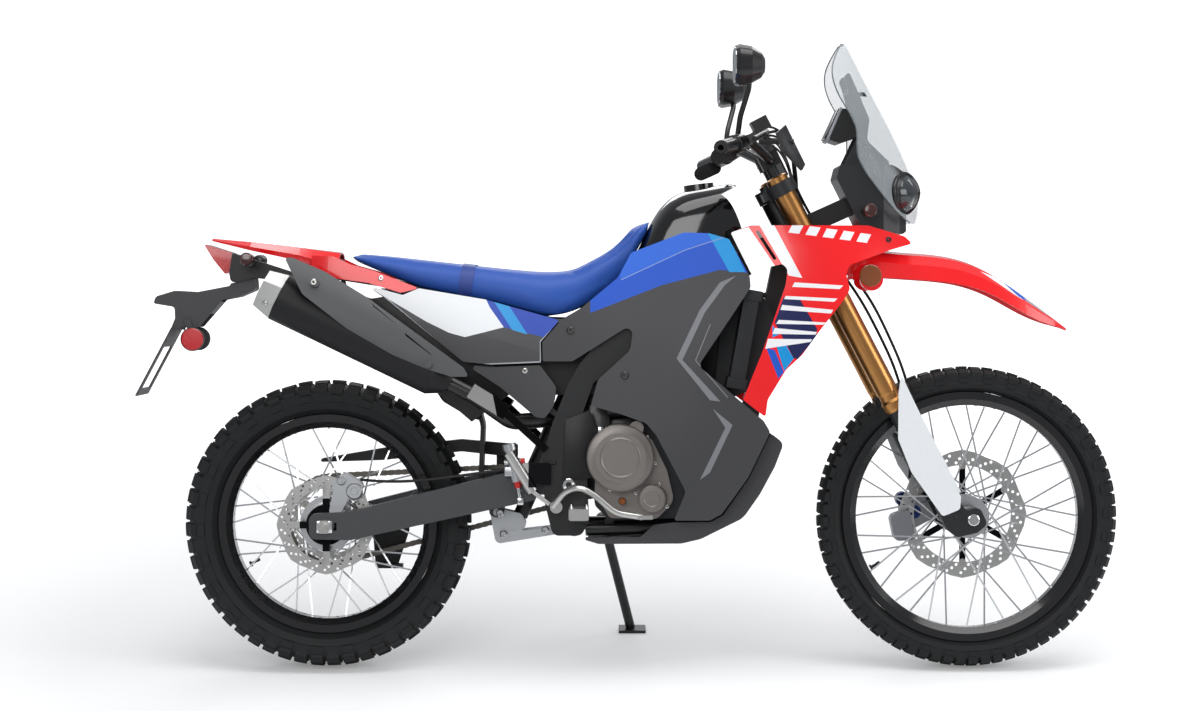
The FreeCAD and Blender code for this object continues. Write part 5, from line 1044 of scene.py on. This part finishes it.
# %% Turned covers
def turned_cover(name, place, steps, material, slot, sides, body="chassis", out=-1):
    """A round cover at (x, y, z) that faces out to a side: (radius, how far out) steps from a circle."""
    x, y, z = place
    clear()
    bpy.ops.mesh.primitive_circle_add(
        vertices=sides, radius=steps[0][0] / 1000, fill_type="NGON",
        location=mm(x, y + out * steps[0][1], z), rotation=(math.pi / 2, 0, 0))
    with editing():
        for (r0, h0), (r1, h1) in zip(steps, steps[1:]):
            rise = (0, out * (h1 - h0) / 1000, 0)
            bpy.ops.mesh.extrude_edges_move(TRANSFORM_OT_translate={"value": rise})
            bpy.ops.transform.resize(value=(r1 / r0, 1, r1 / r0), center_override=mm(*place))
        bpy.ops.mesh.edge_face_add()
        bpy.ops.mesh.select_all(action="SELECT")
        bpy.ops.mesh.normals_make_consistent(inside=False)
    settle(name, body, material, slot, crease=24)


# %% Axle nuts
AXLE_END, NUT_ACROSS = 130, 19
for side, name in SIDES:
    block((-17, side * 125, 312), (19, side * 131, 340), 2)
    settle(name + "_axle_block", "chassis", chrome, "brake_steel")
    ends = [(0, side * (AXLE_END + out), 326) for out in (0, 3, 11, 5, 14)]
    joined([rod(ends[0], ends[1], NUT_ACROSS * 0.72, 28), rod(ends[0], ends[2], NUT_ACROSS * 0.58, 6),
            rod(ends[3], ends[4], NUT_ACROSS * 0.3, 16)])
    settle(name + "_axle_nut", "chassis", steel, "brake_steel", crease=25)
turned_cover("front_axle_head", (FRONT_AXLE.x * 1000, -121, FRONT_AXLE.z * 1000),
             [(13, -3), (13, 4), (11, 5), (7, 5), (7, 0), (3, 0)], chrome, "brake_steel", 24, "steering")

# %% Spoke nipples and valves
SPOKES = 36


def nipples(name, axle, reach, half_wide, body):
    """The nipples round a rim, taking turns either side of its middle."""
    x, z = axle.x * 1000, axle.z * 1000
    aside = [Matrix.Translation((0, way * half_wide / 1000, 0)) for way in (1, -1)]
    copies(rod((x - 10, 0, z), (x, 0, z), 3.2, 8),
           [aside[i % 2] @ round_axle(axle, reach, (i + 0.5) / SPOKES) for i in range(SPOKES)])
    settle(name, body, spoke_steel, "brake_steel")


nipples("front_nipples", FRONT_AXLE, 262, 7, "front_wheel")
nipples("rear_nipples", REAR_AXLE, 226, 10, "rear_wheel")
for wheel, foot, nut, cap, stem, tip in (
        ("rear", (-180, 0, 230), (-176, 0, 232.2), (-165, 0, 238.2), (-160, 0, 241), (-158, 0, 242.1)),
        ("front", (1236, 0, 222), (1240, 0, 224.4), (1251, 0, 231), (1256, 0, 234), (1258, 0, 235.2))):
    joined([rod(foot, stem, 3.5, 12, 2.6), rod(foot, nut, 6.5, 6), rod(cap, tip, 4, 12, 3.4)])
    settle(wheel + "_valve", wheel + "_wheel", hose_rubber, "dark_plastic")

# %% [markdown]
# ## The engine's right side
# A raised clutch cover with a turned ring, a small filter cover, an oil cap, a drain bolt and a sensor.
# The turned shapes are circles drawn outwards step by step.

# %% Covers and caps of the engine
turned_cover("clutch_ring", (663, -151, 482),
             [(75, -6), (75, 4), (72, 7), (60, 8), (56, 10), (46, 10), (43, 12), (40, 10), (38, 9), (12, 9),
              (10, 8.5)], cover_grey, "grey_metal", 64)
turned_cover("filter_cap", (734, -151, 391), [(30, -8), (30, 5), (28, 7), (18, 7.5), (16, 6), (6, 6)],
             cover_grey, "grey_metal", 40)
turned_cover("oil_cap", (692, -140, 540), [(15, -4), (15, 8), (13, 10), (8, 10), (7, 13), (3, 13)],
             black_plastic, "dark_plastic", 12)
turned_cover("drain_bolt", (667, -146, 385), [(9, -4), (9, 5), (7, 8), (4, 8), (3, 5)],
             copper, "brake_steel", 6)
turned_cover("pivot_cap", (548, -127, 420), [(15, -3), (15, 4), (13, 6), (7, 6), (6, 3)],
             chrome, "brake_steel", 24)
block((613, -142, 531), (624, -128, 551), 2)
settle("oil_sensor", "chassis", chrome, "brake_steel")

# %% Reflectors
LENS = [(25, -3), (25, 1), (23, 2.5), (6, 3)]
for out, name in SIDES:
    turned_cover(name + "_fork_reflector", (1229, out * 76, 889), LENS,
                 amber, "lamp_red", 32, "steering", out)
    turned_cover(name + "_rear_reflector", (-305, out * 54, 745), LENS,
                 red_reflex, "lamp_red", 32, "chassis", out)

# %% [markdown]
# ## Inner panels
# Behind the gaps of the bodywork a real machine shows dark things: crankcase, ducts, splash guards.
# Each is a plate with its own outline: a flat polygon, extruded and bevelled.

# %% Plates between two depths
def panel(corners, y0, y1, edge=1.2):
    """A plate with (x, z) corners in the side view, from one depth to another, its edges rounded."""
    return outline_plate([(x, y0, z) for x, z in corners], (0, y1 - y0, 0), edge=edge)


panel([(540, 566), (595, 588), (618, 527), (595, 499), (618, 443), (584, 432), (534, 432)], -131, -127)
settle("engine_guard_plate", "chassis", black_plastic, "dark_plastic")
joined([panel([(560, 640), (745, 640), (800, 560), (800, 400), (610, 380), (560, 420)], -64, 64, 4),
        panel([(590, 600), (640, 610), (650, 440), (598, 430)], -98, -60, 5)])
settle("crankcase_wall", "chassis", black_steel, "black_metal")
panel([(806, 868), (905, 872), (985, 640), (880, 596), (822, 640)], -44, 44, 4)
settle("cooling_duct", "chassis", black_plastic, "dark_plastic")
GUARD = [(96, 836), (238, 858), (400, 770), (440, 640), (330, 560), (236, 640)]
joined([panel(GUARD, side * 106, side * 100, 2) for side in (-1, 1)])
settle("inner_splash_guards", "chassis", black_plastic, "dark_plastic")

# %% [markdown]
# ## Lamp bezel and the screen's edge
# The bezel is an oval ring that follows the bulge of the lamp. The screen's edge shows as a thin line,
# because the light runs along inside the sheet and comes out there.

# %% Bezel
LAMP_LONG, LAMP_WIDE, LAMP_HIGH = 75, 88, 52
BEZEL_AHEAD, BEZEL_LONG, BEZEL_HIGH = 40, 31, 46


def on_lamp(along, up):
    """A point on the lamp's rounded front, this far ahead of and above its middle, on its right side."""
    share = max(0.0, 1 - (along / LAMP_LONG) ** 2 - (up / LAMP_HIGH) ** 2)
    return (1272 + along, -LAMP_WIDE * math.sqrt(share), 1077 + up)


angles = [i * math.pi / 12 for i in range(25)]
oval_ring = [on_lamp(BEZEL_AHEAD + BEZEL_LONG * math.cos(angle), BEZEL_HIGH * math.sin(angle))
             for angle in angles]
pipe(both_sides(oval_ring), 5.0, 12)
settle("lamp_bezels", "chassis", lamp_black, "dark_plastic")

# %% Edge of the screen
right_edge = [(edge_x, -half, z) for z, middle_x, edge_x, half in SCREEN_SECTIONS]
top_edge = [(1166, -30, 1415), (1178, -12, 1417), (1178, 12, 1417), (1166, 30, 1415)]
pipe([*both_sides(right_edge), top_edge], 1.6)
settle("screen_edge", "chassis", screen_rim, "clear_lens")

# %% Instrument bezel and glass
panel([(1130, 1196), (1139, 1192), (1173, 1267), (1163, 1272)], -50, 50, 2)
settle("instrument_bezel", "chassis", satin_silver, "grey_metal")
panel([(1127, 1200), (1131, 1199), (1162, 1267), (1159, 1269)], -42, 42, 1)
settle("instrument_glass", "chassis", gloss_black, "black_gloss")

# %% [markdown]
# ## The rear brake's cylinder, pegs and calipers
# Small cast and turned parts: a body with a cap, red dust boots and a fork, teeth on the footpegs, and
# the caliper's round bores.

# %% Master cylinder
joined([rod((416, -138, 500), (432, -138, 428), 12, 20), rod((414, -138, 512), (417, -138, 498), 16, 20),
        rod((404, -138, 470), (440, -138, 474), 7, 14), block((404, -148, 440), (448, -128, 462), 3)])
settle("rear_master_cylinder", "chassis", alloy, "cast_alloy")
joined([rod((432, -138, 428), (435, -138, 414), 8, 14, 6), rod((440, -138, 474), (450, -138, 475), 6, 12)])
settle("red_dust_boots", "chassis", red_boot, "red_plastic")
joined([rod((435, -138, 414), (440, -136, 384), 4, 10), block((433, -142, 376), (447, -131, 392), 2),
        rod((435.5, -138, 411), (436.5, -138, 405), 7, 6)])
settle("brake_push_rod", "chassis", chrome, "brake_steel")

# %% Teeth of the footpegs
TOOTH_REACHES = range(164, 234, 11)
tooth = rod((570, 0, 372), (570, 0, 380), 4, 6, 1)
copies(tooth, [Matrix.Translation(mm(across, side * reach, 0)) for side in (-1, 1)
               for reach in TOOTH_REACHES for across in (-17, 17)])
settle("peg_teeth", "chassis", steel, "brake_steel", crease=20)

# %% Caliper bores
turned_cover("rear_caliper_bore", (66, -96, 404), [(19, -4), (19, 7), (16, 10), (9, 10), (8, 8), (3, 8)],
             alloy, "cast_alloy", 28)
turned_cover("rear_caliper_pin", (36, -96, 428), [(10, -4), (10, 8), (8, 10), (5, 10), (4, 8)],
             alloy, "cast_alloy", 18)
joined([rod((1322, 82, 372), (1322, 118, 372), 17, 20), rod((1340, 82, 334), (1340, 118, 334), 17, 20),
        block((1312, 84, 326), (1352, 104, 384), 4)])
settle("front_caliper_bores", "steering", blue_anodised, "cast_alloy")

# %% Grips, as turned rings of rubber along each end of the bar
RINGS = 16
for side, name in SIDES:
    start, end = Vector((897, side * 306, 1151.5)), Vector((868, side * 400, 1140.5))
    ring = (end - start).normalized() * 3.6
    places = [start.lerp(end, i / (RINGS - 1)) for i in range(RINGS)]
    joined([rod(place, place + ring, 16.6, 20, 16.0) for place in places])
    settle(name + "_grip_rings", "steering", grip_rubber, "dark_plastic")

# %% Bolts of the shock linkage, and the red clamp bolts on the bar
for x, z in ((392, 350), (400, 302), (494, 312)):
    turned_cover("linkage_bolt_%d" % x, (x, -38, z), [(9, -2), (9, 5), (7, 7), (4, 7), (3, 4)],
                 chrome, "brake_steel", 16)
joined([rod((918, side * 262, 1180), (916, side * 262, 1196), 8, 16) for side in (-1, 1)])
settle("mirror_clamp_caps", "steering", red_boot, "red_plastic")

# %% Indicator lenses
BOWL = [(15, -4), (15, 1), (12, 5), (5, 6.5)]
for x, z, where in ((-172, 925, "rear"), (1219, 1034, "front")):
    for out, name in SIDES:
        spot, facing, hit = surface(x, z, out)
        if hit:
            turned_cover(name + "_" + where + "_indicator_lens", (x, spot.y * 1000, z), BOWL,
                         indicator_lens, "lamp_red", 24, "chassis", out)

# %% [markdown]
# ## Floor
# White paper under the machine. It keeps the soft shadow, and further out the camera sees it go over
# into the white of the background.

# %% Floor
SHADOW_ENDS, WHITE_BEGINS = 1.3, 4.0
SHADOW_LIFT, WHITE_LIFT = 0.22, 1.0
bpy.ops.object.select_all(action="DESELECT")
bpy.ops.mesh.primitive_plane_add(size=60, location=(0, 0, -0.001))
floor = bpy.context.object
floor.name = "studio_floor"
paper = finish("white_paper_floor", "E9EAEB", 0.9, Specular_IOR_Level=0.1, Emission_Color=(1, 1, 1, 1))
seen = seen_directly(paper)
spot = add(paper, "ShaderNodeTexCoord")
away = add(paper, "ShaderNodeVectorMath", {0: (spot, "Object")}, operation="LENGTH")
lift = add(paper, "ShaderNodeMapRange",
           {"Value": (away, "Value"), "From Min": SHADOW_ENDS, "From Max": WHITE_BEGINS,
            "To Min": SHADOW_LIFT, "To Max": WHITE_LIFT})
shown = add(paper, "ShaderNodeMath", {0: (lift, "Result"), 1: (seen, 0)}, operation="MULTIPLY")
drive(paper, shown, 0, "Emission Strength")
floor.data.materials.append(paper)
